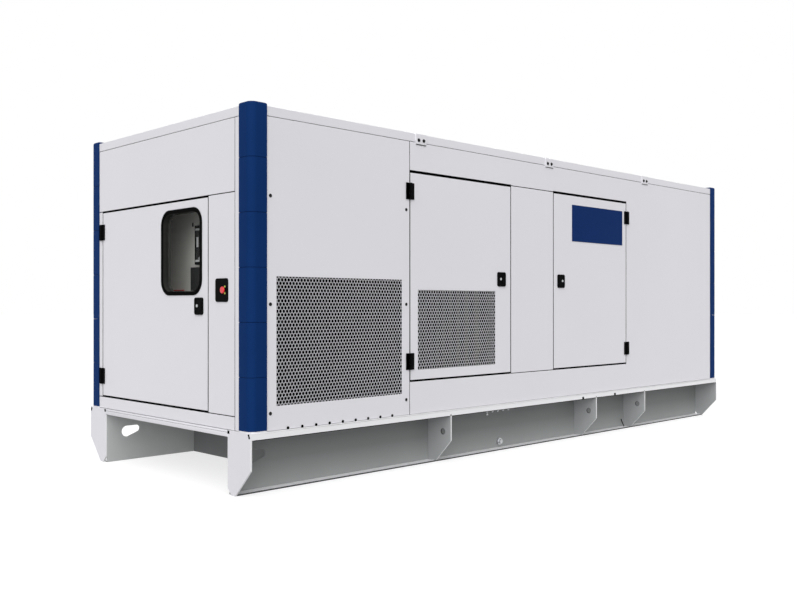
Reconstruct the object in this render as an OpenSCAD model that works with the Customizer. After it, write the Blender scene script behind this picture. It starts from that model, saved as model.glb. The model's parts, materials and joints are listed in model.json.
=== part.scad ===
// Silent diesel generator set: a sound-proof canopy on a steel skid, with the set inside.
// X runs along the set (control end at -X), the long side with the doors that open
// faces -Y, Z is up and z = 0 is the underside of the skid.

/* [Overall] */
// Length of the canopy
canopy_l = 5415; // [5215:50:6415]
// Width of the canopy
canopy_w = 1900; // [1850:10:2200]
// Height of the canopy above the skid, to the top of the roof
canopy_h = 1820; // [1780:10:2100]
// Thickness of the walls and doors, with their sound-proof lining
wall_t = 50; // [40:2:60]
// Height of the roof edge
roof_t = 55; // [45:1:80]

/* [Skid] */
// Height of the skid
skid_h = 365; // [340:5:420]
// How far the skid stands out past the canopy
skid_lap = 8; // [8:1:20]
// How far the skid stands out past the end walls
end_lap = 8; // [6:1:24]
// Width of a skid rail over its top flange
rail_w = 222; // [200:2:250]
// Plate thickness of the rails, gussets and cross-members
plate_t = 10; // [8:1:14]
// Height of the lip folded down along the skid edge
lip_h = 38; // [30:1:50]
// Thickness of that lip
lip_t = 8; // [6:1:8]
// Width of the bottom flange that stands on the ground
foot_w = 74; // [60:2:100]
// Height at which the sloped edge of a gusset starts
slope_z = 158; // [120:2:200]
// Clipped inner corner of the end plates
corner_clip = 36; // [20:1:45]
// Height of the clipped corner of an end plate
clip_h = 40; // [20:1:50]
// Distance of the first gusset from the control end
gusset_1_at = 1625; // [1500:1:1700]
// Distance of the second gusset from the control end
gusset_2_at = 3364; // [3250:1:3450]
// Distance of the third gusset from the control end
gusset_3_at = 4107; // [4000:1:4200]
// Radius of the tie-down eye in a gusset
eye_r = 20; // [14:1:28]
// Height of the eye above the ground
eye_z = 215; // [190:1:240]
// Distance of the eye from the outer edge of the skid
eye_in = 72; // [60:1:100]
// Length of the slot through each rail near the control end
slot_l = 135; // [100:1:160]
// Height of that slot
slot_h = 75; // [50:1:90]
// Height of a rail slot at its narrow end
slot_narrow = 48; // [30:1:50]
// Distance of the slot's middle from the control end
slot_at = 179; // [150:1:220]
// Height of the slot's middle above the ground
slot_z = 198; // [180:1:220]
// Distance of the first cross-member from each end
cross_at = 682; // [600:1:760]
// Distance of the drain plug from the control end
plug_at = 2381; // [2300:1:2600]
// Height of the drain plug
plug_z = 55; // [45:1:80]
// Radius of the drain plug's collar
plug_r = 26; // [16:1:28]

/* [Corner posts] */
// Width of a corner post along each wall
post_w = 106; // [90:1:130]
// How far a post stands out past the walls
post_proud = 6; // [2:1:8]
// Height of a post above the roof
post_rise = 15; // [5:1:25]
// Radius of its rounded corner
post_r = 45; // [30:1:90]

/* [Long side] */
// Distance of the inlet panel's far edge from the control end
inlet_edge = 1237; // [1200:1:1300]
// Width of the air door's doorway
air_door_w = 1038; // [1000:1:1080]
// Width of the pillar panel between the doorways
pillar_w = 514; // [450:1:560]
// Width of the service door's doorway
service_door_w = 1032; // [1000:1:1080]
// Height of the bottom of the doorways above the skid
doorway_sill = 213; // [190:1:260]
// Height of the doorways
doorway_h = 1359; // [1250:1:1400]
// Gap above and below a door
door_gap_z = 10; // [6:1:14]
// Gap beside a door
door_gap_side = 6; // [5:1:10]
// Thickness of the perforated grille sheets
grille_t = 3; // [2:0.5:5]
// Margin between a corner post and the inlet grille
inlet_near_margin = 70; // [40:1:120]
// Margin between the inlet grille and the inlet panel's far edge
inlet_far_margin = 71; // [40:1:120]
// Height of the inlet grille's bottom above the skid
inlet_grille_up = 139; // [100:1:200]
// Height of the inlet grille
inlet_grille_h = 730; // [600:1:800]
// Margin between the hinged edge of the air doorway and its grille
door_near_margin = 76; // [60:1:120]
// Margin between the air door's grille and the free edge of the doorway
door_far_margin = 178; // [160:1:220]
// Height of the air door's grille above the bottom of the doorway
door_grille_up = 73; // [60:1:120]
// Height of the air door's grille
door_grille_h = 520; // [450:1:560]
// Width of the sign plate
sign_w = 709; // [600:1:760]
// Height of the sign plate
sign_h = 284; // [200:1:320]
// Thickness of the sign plate
sign_t = 3; // [2:0.5:5]
// Distance of the sign plate from the hinged edge of the service doorway
sign_in = 66; // [60:1:120]
// Distance of the sign plate from the top of the doorway
sign_down = 83; // [70:1:120]

/* [Hinges and locks] */
// Width of a whole hinge
hinge_w = 72; // [66:1:90]
// Height of a hinge
hinge_h = 107; // [90:1:120]
// Distance of the hinge pin outside the wall face
pin_out = 10; // [10:1:18]
// Gap between a hinge knuckle and the wall face
knuckle_gap = 1; // [0.5:0.5:2]
// Radius of the hinge pin
pin_r = 4; // [3.5:0.5:6]
// Clearance round the pin
pin_clear = 0.3; // [0.2:0.1:0.6]
// Clearance between the knuckles
knuckle_clear = 0.6; // [0.4:0.1:0.9]
// Thickness of the hinge leaves
leaf_t = 8; // [8:0.5:14]
// Distance of a hinge's middle from the top and bottom of a long-side doorway
hinge_in = 131; // [100:1:200]
// Width of a door lock
lock_w = 92; // [80:1:110]
// Height of a door lock
lock_h = 102; // [90:1:120]
// How far a lock stands out of its door
lock_t = 8; // [6:1:20]
// Distance of a lock from the free edge of its doorway
lock_in = 50; // [40:1:60]
// Distance of the air door's lock from the free edge of its doorway
air_lock_in = 66; // [50:1:75]
// Height of the long-side locks' middle above the bottom of the doorway
lock_up = 678; // [600:1:750]
// Radius of the lock's key barrel
key_r = 9; // [6:1:12]
// Radius of a lock body's corners
lock_r = 14; // [8:1:20]
// Distance of the key barrel from the middle of its lock
key_in = 13; // [0:1:20]
// Height of the key barrel above the middle of its lock
key_up = 2; // [0:1:15]
// How far the key barrel stands out of its lock
key_l = 3; // [2:0.5:5]

/* [Control end] */
// Distance of the end wall's narrow strip edge from the long side
strip_edge = 154; // [150:1:170]
// Distance of the control doorway's free edge from the long side
control_door_at = 425; // [400:1:460]
// Gap between the control door's hinges and the corner post
control_hinge_gap = 13; // [1:0.5:22]
// Height of the control doorway's bottom above the skid
control_sill = 80; // [60:1:120]
// Height of the control doorway
control_door_h = 1266; // [1200:1:1300]
// Distance of a hinge's middle from the top and bottom of the control doorway
control_hinge_in = 142; // [100:1:200]
// Gap between the window and the control door's lock below it
lock_window_gap = 14; // [6:1:60]
// Width of the window with its rubber frame
window_w = 468; // [400:1:500]
// Height of the window with its rubber frame
window_h = 525; // [450:1:540]
// Width of the rubber frame
gasket_w = 24; // [20:1:40]
// How much of the rubber frame laps over the door's face
gasket_lap = 12; // [8:1:16]
// How far the rubber frame stands out of the door
gasket_proud = 5; // [3:1:8]
// Outer corner radius of the rubber frame
window_r = 95; // [80:1:110]
// Thickness of the window glass
glass_t = 6; // [4:1:8]
// Depth of the glass behind the door's face
glass_in = 14; // [8:1:20]
// Distance of the window from the free edge of the doorway
window_in = 64; // [55:1:90]
// Distance of the window from the top of the doorway
window_down = 55; // [45:1:90]
// Width of the emergency stop plate
stop_w = 129; // [120:1:160]
// Height of the emergency stop plate
stop_h = 135; // [120:1:160]
// Thickness of the emergency stop plate
stop_t = 5; // [4:1:12]
// Radius of the stop plate's corners
stop_r = 16; // [8:1:24]
// Distance of the stop plate's middle from the long side
stop_at = 281; // [250:1:300]
// How far the stop button lies off the middle of its plate
button_shift = 22; // [0:1:30]
// Height of the stop plate's middle above the skid
stop_z = 793; // [750:1:850]
// Radius of the red stop button
button_r = 20; // [16:0.5:26]
// Thickness of the stop button's cap
cap_t = 9; // [7:1:14]
// Radius of the stop button's stem
stem_r = 12.5; // [9:0.5:15]
// Length of the stop button's stem
stem_l = 4; // [3:1:18]

/* [Roof] */
// Width of a roof bracket
bracket_w = 110; // [80:1:130]
// Height of a roof bracket
bracket_h = 68; // [60:1:80]
// Thickness of a roof bracket
bracket_t = 6; // [4:1:8]
// Distance of the first roof bracket from the control end
bracket_1_at = 1338; // [1250:1:1400]
// Distance of the second roof bracket from the control end
bracket_2_at = 2734; // [2650:1:2800]
// Distance of the third roof bracket from the control end
bracket_3_at = 4113; // [4050:1:4200]
// Width of the solid border round the roof's air outlet
outlet_border = 190; // [150:10:250]
// Thickness of an outlet bar
outlet_bar_t = 20; // [12:1:30]
// Clear gap between outlet bars
outlet_gap = 60; // [40:1:80]

/* [Inside] */
// Depth of the control space behind the control end
control_space = 250; // [220:5:300]
// Depth of the control cabinet
cabinet_d = 230; // [180:5:260]
// Width of the control cabinet
cabinet_w = 1100; // [900:10:1200]
// Height of the control cabinet
cabinet_h = 1150; // [1000:10:1200]
// Height of the cabinet's bottom above the skid
cabinet_up = 230; // [150:10:300]
// Thickness of the bulkhead behind the cabinet
bulkhead_t = 20; // [12:1:30]
// Width of the display panel
display_w = 340; // [280:5:380]
// Height of the display panel
display_h = 250; // [200:5:300]
// Thickness of the display panel
display_t = 22; // [12:1:30]
// Height of the display's middle above the cabinet's bottom
display_up = 861; // [800:1:950]
// Distance of the display's left edge past the middle of the canopy
display_left = -10; // [-40:1:60]
// Width of the breaker cover
cover_w = 420; // [350:5:450]
// Height of the breaker cover
cover_h = 150; // [120:1:200]
// Gap between the display and the breaker cover below it
cover_gap = 18; // [10:1:30]
// How far the breaker cover's edge lies past the display's edge
cover_shift = 20; // [0:5:60]
// Thickness of the breaker cover
cover_t = 40; // [20:1:60]
// Height of the engine bed rails
bed_h = 140; // [120:1:180]
// Width of an engine bed rail
bed_w = 90; // [70:1:120]
// Distance between the middles of the bed rails
bed_pitch = 760; // [700:10:800]
// Distance of the alternator's end from the control end
alternator_at = 760; // [700:10:800]
// Width of the alternator's terminal box
terminal_w = 520; // [440:10:560]
// Length of the alternator's terminal box
terminal_l = 540; // [440:10:600]
// Height of the terminal box above the alternator's casing
terminal_up = 180; // [120:5:220]
// Length of the alternator
alternator_l = 900; // [800:10:950]
// Radius of the alternator's casing
alternator_r = 370; // [330:5:400]
// Height of the crankshaft above the skid
shaft_z = 620; // [580:5:660]
// How far the bed rails stop short of the engine's fan end
bed_short = 100; // [60:5:140]
// Length of a foot's pad along the bed rail
pad_l = 120; // [90:5:140]
// Thickness of a foot's pad
pad_t = 24; // [16:1:32]
// Length of a foot's leg along the bed rail
leg_l = 100; // [70:5:110]
// Radius of the alternator's end bell
bell_r = 315; // [280:5:330]
// Length of the alternator's end bell
bell_l = 120; // [80:5:160]
// Distance of a machine's outer foot from its own end
outer_foot_in = 200; // [160:10:240]
// Distance of the alternator's inner foot from the flywheel housing
inner_foot_in = 180; // [150:10:220]
// Radius of the flywheel housing
flywheel_r = 340; // [300:5:370]
// Length of the flywheel housing
flywheel_l = 160; // [120:5:200]
// Length of the engine block
engine_l = 1850; // [1700:10:1900]
// Width of the engine block
engine_w = 620; // [560:10:660]
// Height of the engine block above the crankshaft
engine_up = 420; // [380:10:460]
// Width of a cylinder head
head_w = 250; // [220:5:280]
// Height of a cylinder head
head_h = 230; // [200:5:260]
// Lean of a cylinder head from upright
head_lean = 30; // [25:1:40]
// Length of the radiator along the set
radiator_t = 220; // [180:5:260]
// Gap between the engine and the radiator
fan_space = 330; // [280:10:380]
// Radius of the fan
fan_r = 520; // [450:5:560]
// Depth of the engine block below the shaft
block_down = 140; // [110:5:170]
// Depth of the fan hub and its shaft
fan_hub_l = 160; // [120:5:200]
// Radius of the fan hub
fan_hub_r = 60; // [45:5:80]
// Depth of the fan's blades
fan_t = 60; // [50:5:80]
// Height of the fan's middle above the shaft
fan_up = 120; // [100:5:140]
// Gap between the fan's ring and the radiator's round opening
fan_clear = 20; // [15:1:30]
// Radius of an air cleaner
cleaner_r = 150; // [120:5:170]
// Length of an air cleaner
cleaner_l = 560; // [450:10:600]
// Gap between the two air cleaners
cleaner_gap = 70; // [40:5:120]

/* [Hidden] */
$fn = 64;
skid_l = canopy_l + 2 * end_lap;
skid_w = canopy_w + 2 * skid_lap;
end_x = -canopy_l / 2;
side_y = -canopy_w / 2;
rail_y = -skid_w / 2;
web_y = rail_y + rail_w;
wall_top = skid_h + canopy_h - roof_t;
roof_top = skid_h + canopy_h;
end_plate_t = 12;
rail_l = skid_l - 2 * end_plate_t;
gussets_at = [gusset_1_at, gusset_2_at, gusset_3_at];
brackets_at = [bracket_1_at, bracket_2_at, bracket_3_at];
air_door_at = inlet_edge;
pillar_at = air_door_at + air_door_w;
service_door_at = pillar_at + pillar_w;
plain_at = service_door_at + service_door_w;
doorway_z = skid_h + doorway_sill;
doorway_top = doorway_z + doorway_h;
control_z = skid_h + control_sill;
control_top = control_z + control_door_h;
pin_hold = 0.5;
slot_bite = 0.2;
slope_in = rail_w - foot_w;
bulkhead_at = control_space + cabinet_d;
inlet_grille_at = post_w + inlet_near_margin;
inlet_grille_w = inlet_edge - inlet_far_margin - inlet_grille_at;
inlet_grille_z = skid_h + inlet_grille_up;
door_grille_w = air_door_w - door_near_margin - door_far_margin;
knuckle_r = pin_out - knuckle_gap;
control_door_w = canopy_w - post_w - control_hinge_gap - hinge_w / 2 - control_door_at;
roof_split = bracket_3_at;
outlet_l = canopy_l - roof_split - outlet_border - post_w;
outlet_w = canopy_w - 2 * outlet_border;
engine_at = alternator_at + alternator_l;
radiator_at = engine_at + engine_l + fan_space;
bed_l = alternator_l + engine_l - bed_short;
sump_from = 250;
sump_short = 100;
head_from = 200;
head_short = 100;
foot_from = 320;
foot_short = 260;
shaft_height = skid_h + shaft_z;
fan_z = shaft_height + fan_up;
bed_top = skid_h + bed_h;
head_y = engine_w * 0.3;
head_drop = 60;
head_inner_y = head_y - head_w / 2 * cos(head_lean);
head_inner_z = head_w / 2 * sin(head_lean) - head_drop;
cleaner_up = head_inner_z + (cleaner_r + 0.3 - head_inner_y * cos(head_lean)) / sin(head_lean);

// ---- Shared shapes ----

// A box from its low corner to its high corner.
module box(low, high) {
  translate(low)
    cube(high - low);
}

// A piece of the long front wall: s runs from the control end, z from the ground.
module front_slab(s0, s1, z0, z1, thick = wall_t) {
  box([end_x + s0, side_y, z0], [end_x + s1, side_y + thick, z1]);
}

// A piece of the control end's wall: t runs from the long front side.
module end_slab(t0, t1, z0, z1, thick = wall_t) {
  box([end_x, side_y + t0, z0], [end_x + thick, side_y + t1, z1]);
}

module to_back() {
  mirror([0, 1, 0])
    children();
}

module to_radiator_end() {
  mirror([1, 0, 0])
    children();
}

// Stands a flat outline up on the front wall: x stays along the set, y becomes z.
module on_front(s, z, out) {
  translate([end_x + s, side_y - out, z])
    rotate([90, 0, 0])
      mirror([0, 0, 1])
        children();
}

// Stands a flat outline up on the control end: x becomes the distance from the front side.
module on_control_end(t, z, out) {
  translate([end_x - out, side_y + t, z])
    rotate([90, 0, 90])
      children();
}

// A rectangle with round corners, from its low corner.
module round_rect(w, h, r) {
  translate([r, 0])
    square([w - 2 * r, h]);
  translate([0, r])
    square([w, h - 2 * r]);
  for (x = [r, w - r], y = [r, h - r])
    translate([x, y])
      circle(r);
}

// ---- Skid ----

// The channel section of the front rail: web inside, open outwards, lip folded down.
module rail_outline() {
  polygon([
    [rail_y, skid_h - lip_h], [rail_y + lip_t, skid_h - lip_h],
    [rail_y + lip_t, skid_h - plate_t], [web_y - plate_t, skid_h - plate_t],
    [web_y - plate_t, plate_t], [web_y - foot_w, plate_t],
    [web_y - foot_w, 0], [web_y, 0], [web_y, skid_h], [rail_y, skid_h]
  ]);
}

// Extrudes an outline drawn in (y, z) along the set, from x0 over length l.
module along_x(x0, l) {
  translate([x0, 0, 0])
    rotate([90, 0, 90])
      linear_extrude(l)
        children();
}

// A rail slot, cut along z: round at both ends, level on top, narrow away from the end.
module slot_cutter(depth) {
  wide_r = slot_h / 2;
  narrow_r = slot_narrow / 2;
  x1 = wide_r - slot_l / 2;
  x2 = slot_l / 2 - narrow_r;
  z2 = wide_r - narrow_r;
  fall = 2 * atan2(z2, x2 - x1);
  translate([x1, 0, 0])
    cylinder(h = depth, r = wide_r);
  translate([x2, z2, 0])
    cylinder(h = depth, r = narrow_r);
  linear_extrude(depth)
    polygon([
      [x1, wide_r - slot_bite],
      [x1 + (wide_r - slot_bite) * sin(fall), (slot_bite - wide_r) * cos(fall)],
      [x2 + (narrow_r - slot_bite) * sin(fall), z2 - (narrow_r - slot_bite) * cos(fall)],
      [x2, wide_r - slot_bite]
    ]);
}

module skid_rail() {
  difference() {
    along_x(-rail_l / 2, rail_l)
      rail_outline();
    translate([end_x + slot_at, web_y + 1, slot_z])
      rotate([90, 0, 0])
        slot_cutter(plate_t + 2);
  }
}

module skid_rail_front() {
  color("gainsboro")
    skid_rail();
}

module skid_rail_back() {
  color("gainsboro")
    to_back()
      skid_rail();
}

// The full end plate of a rail, with its sloped outer edge and clipped corner.
module end_plate_outline() {
  polygon([
    [rail_y, skid_h], [rail_y, slope_z], [rail_y + slope_in, 0],
    [web_y - corner_clip, 0], [web_y, clip_h], [web_y, skid_h]
  ]);
}

module skid_end_plates() {
  color("whitesmoke")
    for (side = [0, 1], end = [-skid_l / 2, skid_l / 2 - end_plate_t])
      mirror([0, side, 0])
        along_x(end, end_plate_t)
          end_plate_outline();
}

// A gusset fits inside the channel, under its lip, with an eye for a strap.
module gusset_outline() {
  difference() {
    polygon([
      [rail_y + lip_t, skid_h - plate_t], [rail_y + lip_t, skid_h - lip_h],
      [rail_y, skid_h - lip_h], [rail_y, slope_z],
      [rail_y + slope_in * (1 - plate_t / slope_z), plate_t],
      [web_y - plate_t, plate_t], [web_y - plate_t, skid_h - plate_t]
    ]);
    translate([rail_y + eye_in, eye_z])
      circle(eye_r);
  }
}

module skid_gussets() {
  color("gainsboro")
    for (side = [0, 1], at = gussets_at)
      mirror([0, side, 0])
        along_x(end_x + at - plate_t / 2, plate_t)
          gusset_outline();
}

// The shallow angle under each end wall, with the same lip as the rails.
module end_member() {
  reach = -web_y;
  box([-skid_l / 2, -reach, skid_h - lip_h], [-skid_l / 2 + lip_t, reach, skid_h]);
  box([-skid_l / 2, -reach, skid_h - plate_t], [end_x + wall_t, reach, skid_h]);
}

module skid_end_members() {
  color("gainsboro") {
    end_member();
    to_radiator_end()
      end_member();
  }
}

module skid_crossmembers() {
  color("darkgray")
    for (at = [cross_at, gusset_1_at, gusset_2_at, canopy_l - cross_at])
      box([end_x + at, web_y, 0], [end_x + at + plate_t, -web_y, skid_h - plate_t]);
}

module base_deck() {
  color("darkgray")
    box([end_x + wall_t, web_y, skid_h - plate_t],
        [-end_x - wall_t, -web_y, skid_h]);
}

module drain_plug() {
  color("silver")
    translate([end_x + plug_at, web_y - plate_t, plug_z])
      rotate([90, 0, 0]) {
        cylinder(h = 14, r = plug_r);
        cylinder(h = 30, r = plug_r * 0.68, $fn = 6);
      }
}

// ---- Canopy: posts and roof ----

// A corner post in plan, at the front corner of the control end.
module post_outline() {
  reach = post_w + post_proud;
  translate([end_x - post_proud, side_y - post_proud])
    intersection() {
      square(reach);
      union() {
        translate([post_r, post_r])
          circle(post_r, $fn = 96);
        translate([post_r, 0])
          square([reach - post_r, reach]);
        translate([0, post_r])
          square([reach, reach - post_r]);
      }
    }
}

module corner_posts() {
  color("midnightblue")
    for (x = [0, 1], y = [0, 1])
      mirror([x, 0, 0])
        mirror([0, y, 0])
          translate([0, 0, skid_h])
            linear_extrude(canopy_h + post_rise)
              post_outline();
}

// The square notches that the posts pass through at the roof's corners.
module post_notches() {
  for (x = [0, 1], y = [0, 1])
    mirror([x, 0, 0])
      mirror([0, y, 0])
        box([end_x - 1, side_y - 1, wall_top - 1],
            [end_x + post_w, side_y + post_w, roof_top + 1]);
}

module roof_panel() {
  color("whitesmoke")
    difference() {
      box([end_x, side_y, wall_top], [end_x + roof_split, -side_y, roof_top]);
      post_notches();
    }
}

// The last roof panel, with the bars of the hot-air outlet.
module roof_outlet() {
  pitch = outlet_bar_t + outlet_gap;
  count = floor((outlet_l - outlet_gap) / pitch);
  first = end_x + roof_split + outlet_border + (outlet_l - count * pitch + outlet_gap) / 2;
  hole_x = end_x + roof_split + outlet_border;
  color("whitesmoke") {
    difference() {
      box([end_x + roof_split, side_y, wall_top], [-end_x, -side_y, roof_top]);
      post_notches();
      box([hole_x, -outlet_w / 2, wall_top - 1],
          [hole_x + outlet_l, outlet_w / 2, roof_top + 1]);
    }
    for (i = [0 : count - 1])
      box([first + i * pitch, -outlet_w / 2 - 1, wall_top + 5],
          [first + i * pitch + outlet_bar_t, outlet_w / 2 + 1, roof_top - 5]);
  }
}

module roof_brackets() {
  color("white")
    for (side = [0, 1], at = brackets_at)
      mirror([0, side, 0])
        box([end_x + at - bracket_w / 2, side_y - bracket_t, roof_top - bracket_h],
            [end_x + at + bracket_w / 2, side_y, roof_top]);
}

// ---- Canopy: long walls ----

module inlet_panel() {
  difference() {
    front_slab(post_w, inlet_edge, skid_h, wall_top);
    box([end_x + inlet_grille_at, side_y - 1, inlet_grille_z],
        [end_x + inlet_grille_at + inlet_grille_w, side_y + wall_t + 1,
         inlet_grille_z + inlet_grille_h]);
  }
}

module inlet_grille() {
  front_slab(inlet_grille_at, inlet_grille_at + inlet_grille_w,
             inlet_grille_z, inlet_grille_z + inlet_grille_h, grille_t);
}

module header() {
  front_slab(inlet_edge, plain_at, doorway_top, wall_top);
}

module sill() {
  front_slab(inlet_edge, plain_at, skid_h, doorway_z);
}

module pillar() {
  front_slab(pillar_at, service_door_at, doorway_z, doorway_top);
}

module plain_panel() {
  front_slab(plain_at, canopy_l - post_w, skid_h, wall_top);
}

// A long-side door leaf in a doorway from s0 over width w.
module door_leaf(s0, w) {
  front_slab(s0 + door_gap_side, s0 + w - door_gap_side,
             doorway_z + door_gap_z, doorway_top - door_gap_z);
}

// The grille's place in the air door, from the hinged edge of the doorway.
module door_grille_box(y0, y1) {
  s0 = air_door_at + door_near_margin;
  z0 = doorway_z + door_grille_up;
  box([end_x + s0, y0, z0], [end_x + s0 + door_grille_w, y1, z0 + door_grille_h]);
}

module air_door_leaf() {
  difference() {
    door_leaf(air_door_at, air_door_w);
    door_grille_box(side_y - 1, side_y + wall_t + 1);
  }
}

module inlet_panel_front() {
  color("whitesmoke")
    inlet_panel();
}

module inlet_grille_front() {
  color("lightgray")
    inlet_grille();
}

module header_front() {
  color("whitesmoke")
    header();
}

module sill_front() {
  color("whitesmoke")
    sill();
}

module pillar_front() {
  color("whitesmoke")
    pillar();
}

module plain_panel_front() {
  color("whitesmoke")
    plain_panel();
}

module air_door() {
  color("whitesmoke")
    air_door_leaf();
}

module air_door_grille() {
  color("lightgray")
    door_grille_box(side_y, side_y + grille_t);
}

module service_door() {
  color("whitesmoke")
    door_leaf(service_door_at, service_door_w);
}

module sign_plate() {
  z1 = doorway_top - sign_down;
  color("midnightblue")
    box([end_x + plain_at - sign_in - sign_w, side_y - sign_t, z1 - sign_h],
        [end_x + plain_at - sign_in, side_y, z1]);
}

module inlet_panel_back() {
  color("whitesmoke")
    to_back()
      inlet_panel();
}

module grilles_back() {
  color("lightgray")
    to_back() {
      inlet_grille();
      door_grille_box(side_y, side_y + grille_t);
    }
}

module header_back() {
  color("whitesmoke")
    to_back()
      header();
}

module sill_back() {
  color("whitesmoke")
    to_back()
      sill();
}

module pillar_back() {
  color("whitesmoke")
    to_back()
      pillar();
}

module plain_panel_back() {
  color("whitesmoke")
    to_back()
      plain_panel();
}

module air_door_back() {
  color("whitesmoke")
    to_back()
      air_door_leaf();
}

module service_door_back() {
  color("whitesmoke")
    to_back()
      door_leaf(service_door_at, service_door_w);
}

// ---- Hinges and locks ----
// A hinge is drawn round its pin, which stands up along z at the origin. The wall face
// lies at y = pin_out and the door on the +x side.

module knuckle(z0, z1, bore) {
  translate([0, 0, z0])
    difference() {
      cylinder(h = z1 - z0, r = knuckle_r);
      translate([0, 0, -1])
        cylinder(h = z1 - z0 + 2, r = bore);
    }
}

// A leaf is a plate on the wall face, with an arm to its knuckle.
module hinge_leaf(z0, z1) {
  inner = knuckle_r + 1;
  box([inner, pin_out - leaf_t, -hinge_h / 2], [hinge_w / 2, pin_out, hinge_h / 2]);
  box([pin_r + 1, pin_out - leaf_t / 2 - 6, z0], [inner + 1, pin_out - leaf_t / 2 + 3, z1]);
}

module moving_leaf() {
  third = hinge_h / 6;
  hinge_leaf(-third + knuckle_clear, third - knuckle_clear);
  knuckle(-third + knuckle_clear, third - knuckle_clear, pin_r + pin_clear);
}

module fixed_leaf() {
  third = hinge_h / 6;
  mirror([1, 0, 0])
    for (s = [[-hinge_h / 2, -third], [third, hinge_h / 2]]) {
      hinge_leaf(s[0], s[1]);
      knuckle(s[0], s[1], pin_r - pin_hold);
    }
  translate([0, 0, -hinge_h / 2])
    cylinder(h = hinge_h, r = pin_r);
}

// The heights of a long-side door's two hinges.
long_hinges_z = [doorway_z + hinge_in, doorway_top - hinge_in];
control_hinges_z = [control_z + control_hinge_in, control_top - control_hinge_in];

// Places hinge halves: the air door opens from its control-end edge.
module at_air_hinges() {
  for (z = long_hinges_z)
    translate([end_x + air_door_at, side_y - pin_out, z])
      children();
}

// The service door opens from its radiator-end edge.
module at_service_hinges() {
  for (z = long_hinges_z)
    translate([end_x + plain_at, side_y - pin_out, z])
      mirror([1, 0, 0])
        children();
}

// The control door opens from its far edge.
module at_control_hinges() {
  for (z = control_hinges_z)
    translate([end_x - pin_out, side_y + control_door_at + control_door_w, z])
      rotate([0, 0, -90])
        children();
}

module hinge_leaves_fixed() {
  color("black") {
    at_air_hinges()
      fixed_leaf();
    at_service_hinges()
      fixed_leaf();
    at_control_hinges()
      fixed_leaf();
  }
}

// A lock seen from outside: a rounded block with a key barrel off its middle.
module lock_body(key_side) {
  linear_extrude(lock_t)
    round_rect(lock_w, lock_h, lock_r);
  translate([lock_w / 2 + key_side * key_in, lock_h / 2 + key_up, lock_t])
    cylinder(h = key_l, r = key_r);
}

module front_lock(s, key_side) {
  translate([end_x + s, side_y, doorway_z + lock_up - lock_h / 2])
    rotate([90, 0, 0])
      lock_body(key_side);
}

module air_door_fittings() {
  color("black") {
    at_air_hinges()
      moving_leaf();
    front_lock(pillar_at - air_lock_in - lock_w, -1);
  }
}

module service_door_fittings() {
  color("black") {
    at_service_hinges()
      moving_leaf();
    front_lock(service_door_at + lock_in, 1);
  }
}

module door_fittings_back() {
  color("black")
    to_back() {
      at_air_hinges() {
        fixed_leaf();
        moving_leaf();
      }
      at_service_hinges() {
        fixed_leaf();
        moving_leaf();
      }
      front_lock(pillar_at - air_lock_in - lock_w, -1);
      front_lock(service_door_at + lock_in, 1);
    }
}

// ---- Control end ----

module control_end_header() {
  color("whitesmoke")
    end_slab(strip_edge, canopy_w - post_w, control_top, wall_top);
}

module control_end_sill() {
  color("whitesmoke")
    end_slab(strip_edge, canopy_w - post_w, skid_h, control_z);
}

module control_end_jambs() {
  color("whitesmoke") {
    end_slab(post_w, strip_edge, skid_h, wall_top);
    end_slab(control_door_at + control_door_w, canopy_w - post_w, control_z, control_top);
  }
}

module control_end_side_panel() {
  color("whitesmoke")
    end_slab(strip_edge, control_door_at, control_z, control_top);
}

window_at = control_door_at + window_in;
window_z = control_top - window_down - window_h;

// The window's outline, moved in by an even margin.
module window_outline(margin) {
  translate([margin, margin])
    round_rect(window_w - 2 * margin, window_h - 2 * margin, window_r - margin);
}

module control_door() {
  color("whitesmoke")
    difference() {
      end_slab(control_door_at + door_gap_side, control_door_at + control_door_w - door_gap_side,
               control_z + door_gap_z, control_top - door_gap_z);
      on_control_end(window_at, window_z, 1)
        linear_extrude(wall_t + 2)
          window_outline(gasket_lap);
    }
}

module window_gasket() {
  color("black")
    difference() {
      union() {
        on_control_end(window_at, window_z, gasket_proud)
          linear_extrude(gasket_proud)
            window_outline(0);
        on_control_end(window_at, window_z, gasket_proud)
          linear_extrude(gasket_proud + wall_t)
            window_outline(gasket_lap);
      }
      on_control_end(window_at, window_z, gasket_proud + 1)
        linear_extrude(gasket_proud + wall_t + 2)
          window_outline(gasket_w);
    }
}

module window_glass() {
  color("slategray")
    on_control_end(window_at, window_z, -glass_in)
      linear_extrude(glass_t)
        window_outline(gasket_w);
}

module control_door_fittings() {
  color("black") {
    at_control_hinges()
      moving_leaf();
    translate([end_x, side_y + control_door_at + lock_in + lock_w,
               window_z - lock_window_gap - lock_h])
      rotate([90, 0, -90])
        lock_body(-1);
  }
}

module stop_plate() {
  color("black")
    on_control_end(stop_at - stop_w / 2, skid_h + stop_z - stop_h / 2, stop_t)
      linear_extrude(stop_t)
        round_rect(stop_w, stop_h, stop_r);
}

module stop_button() {
  color("red")
    translate([end_x - stop_t, side_y + stop_at - button_shift, skid_h + stop_z])
      rotate([0, -90, 0]) {
        cylinder(h = stem_l, r = stem_r);
        translate([0, 0, stem_l])
          cylinder(h = cap_t, r = button_r);
      }
}

// ---- Control space ----

module bulkhead() {
  color("dimgray")
    box([end_x + bulkhead_at, side_y + wall_t, skid_h],
        [end_x + bulkhead_at + bulkhead_t, -side_y - wall_t, wall_top]);
}

cabinet_z = skid_h + cabinet_up;

module control_cabinet() {
  color("gray")
    box([end_x + control_space, -cabinet_w / 2, cabinet_z],
        [end_x + bulkhead_at, cabinet_w / 2, cabinet_z + cabinet_h]);
}

module display_panel() {
  color("black")
    box([end_x + control_space - display_t, display_left - display_w,
         cabinet_z + display_up - display_h / 2],
        [end_x + control_space, display_left, cabinet_z + display_up + display_h / 2]);
}

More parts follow.
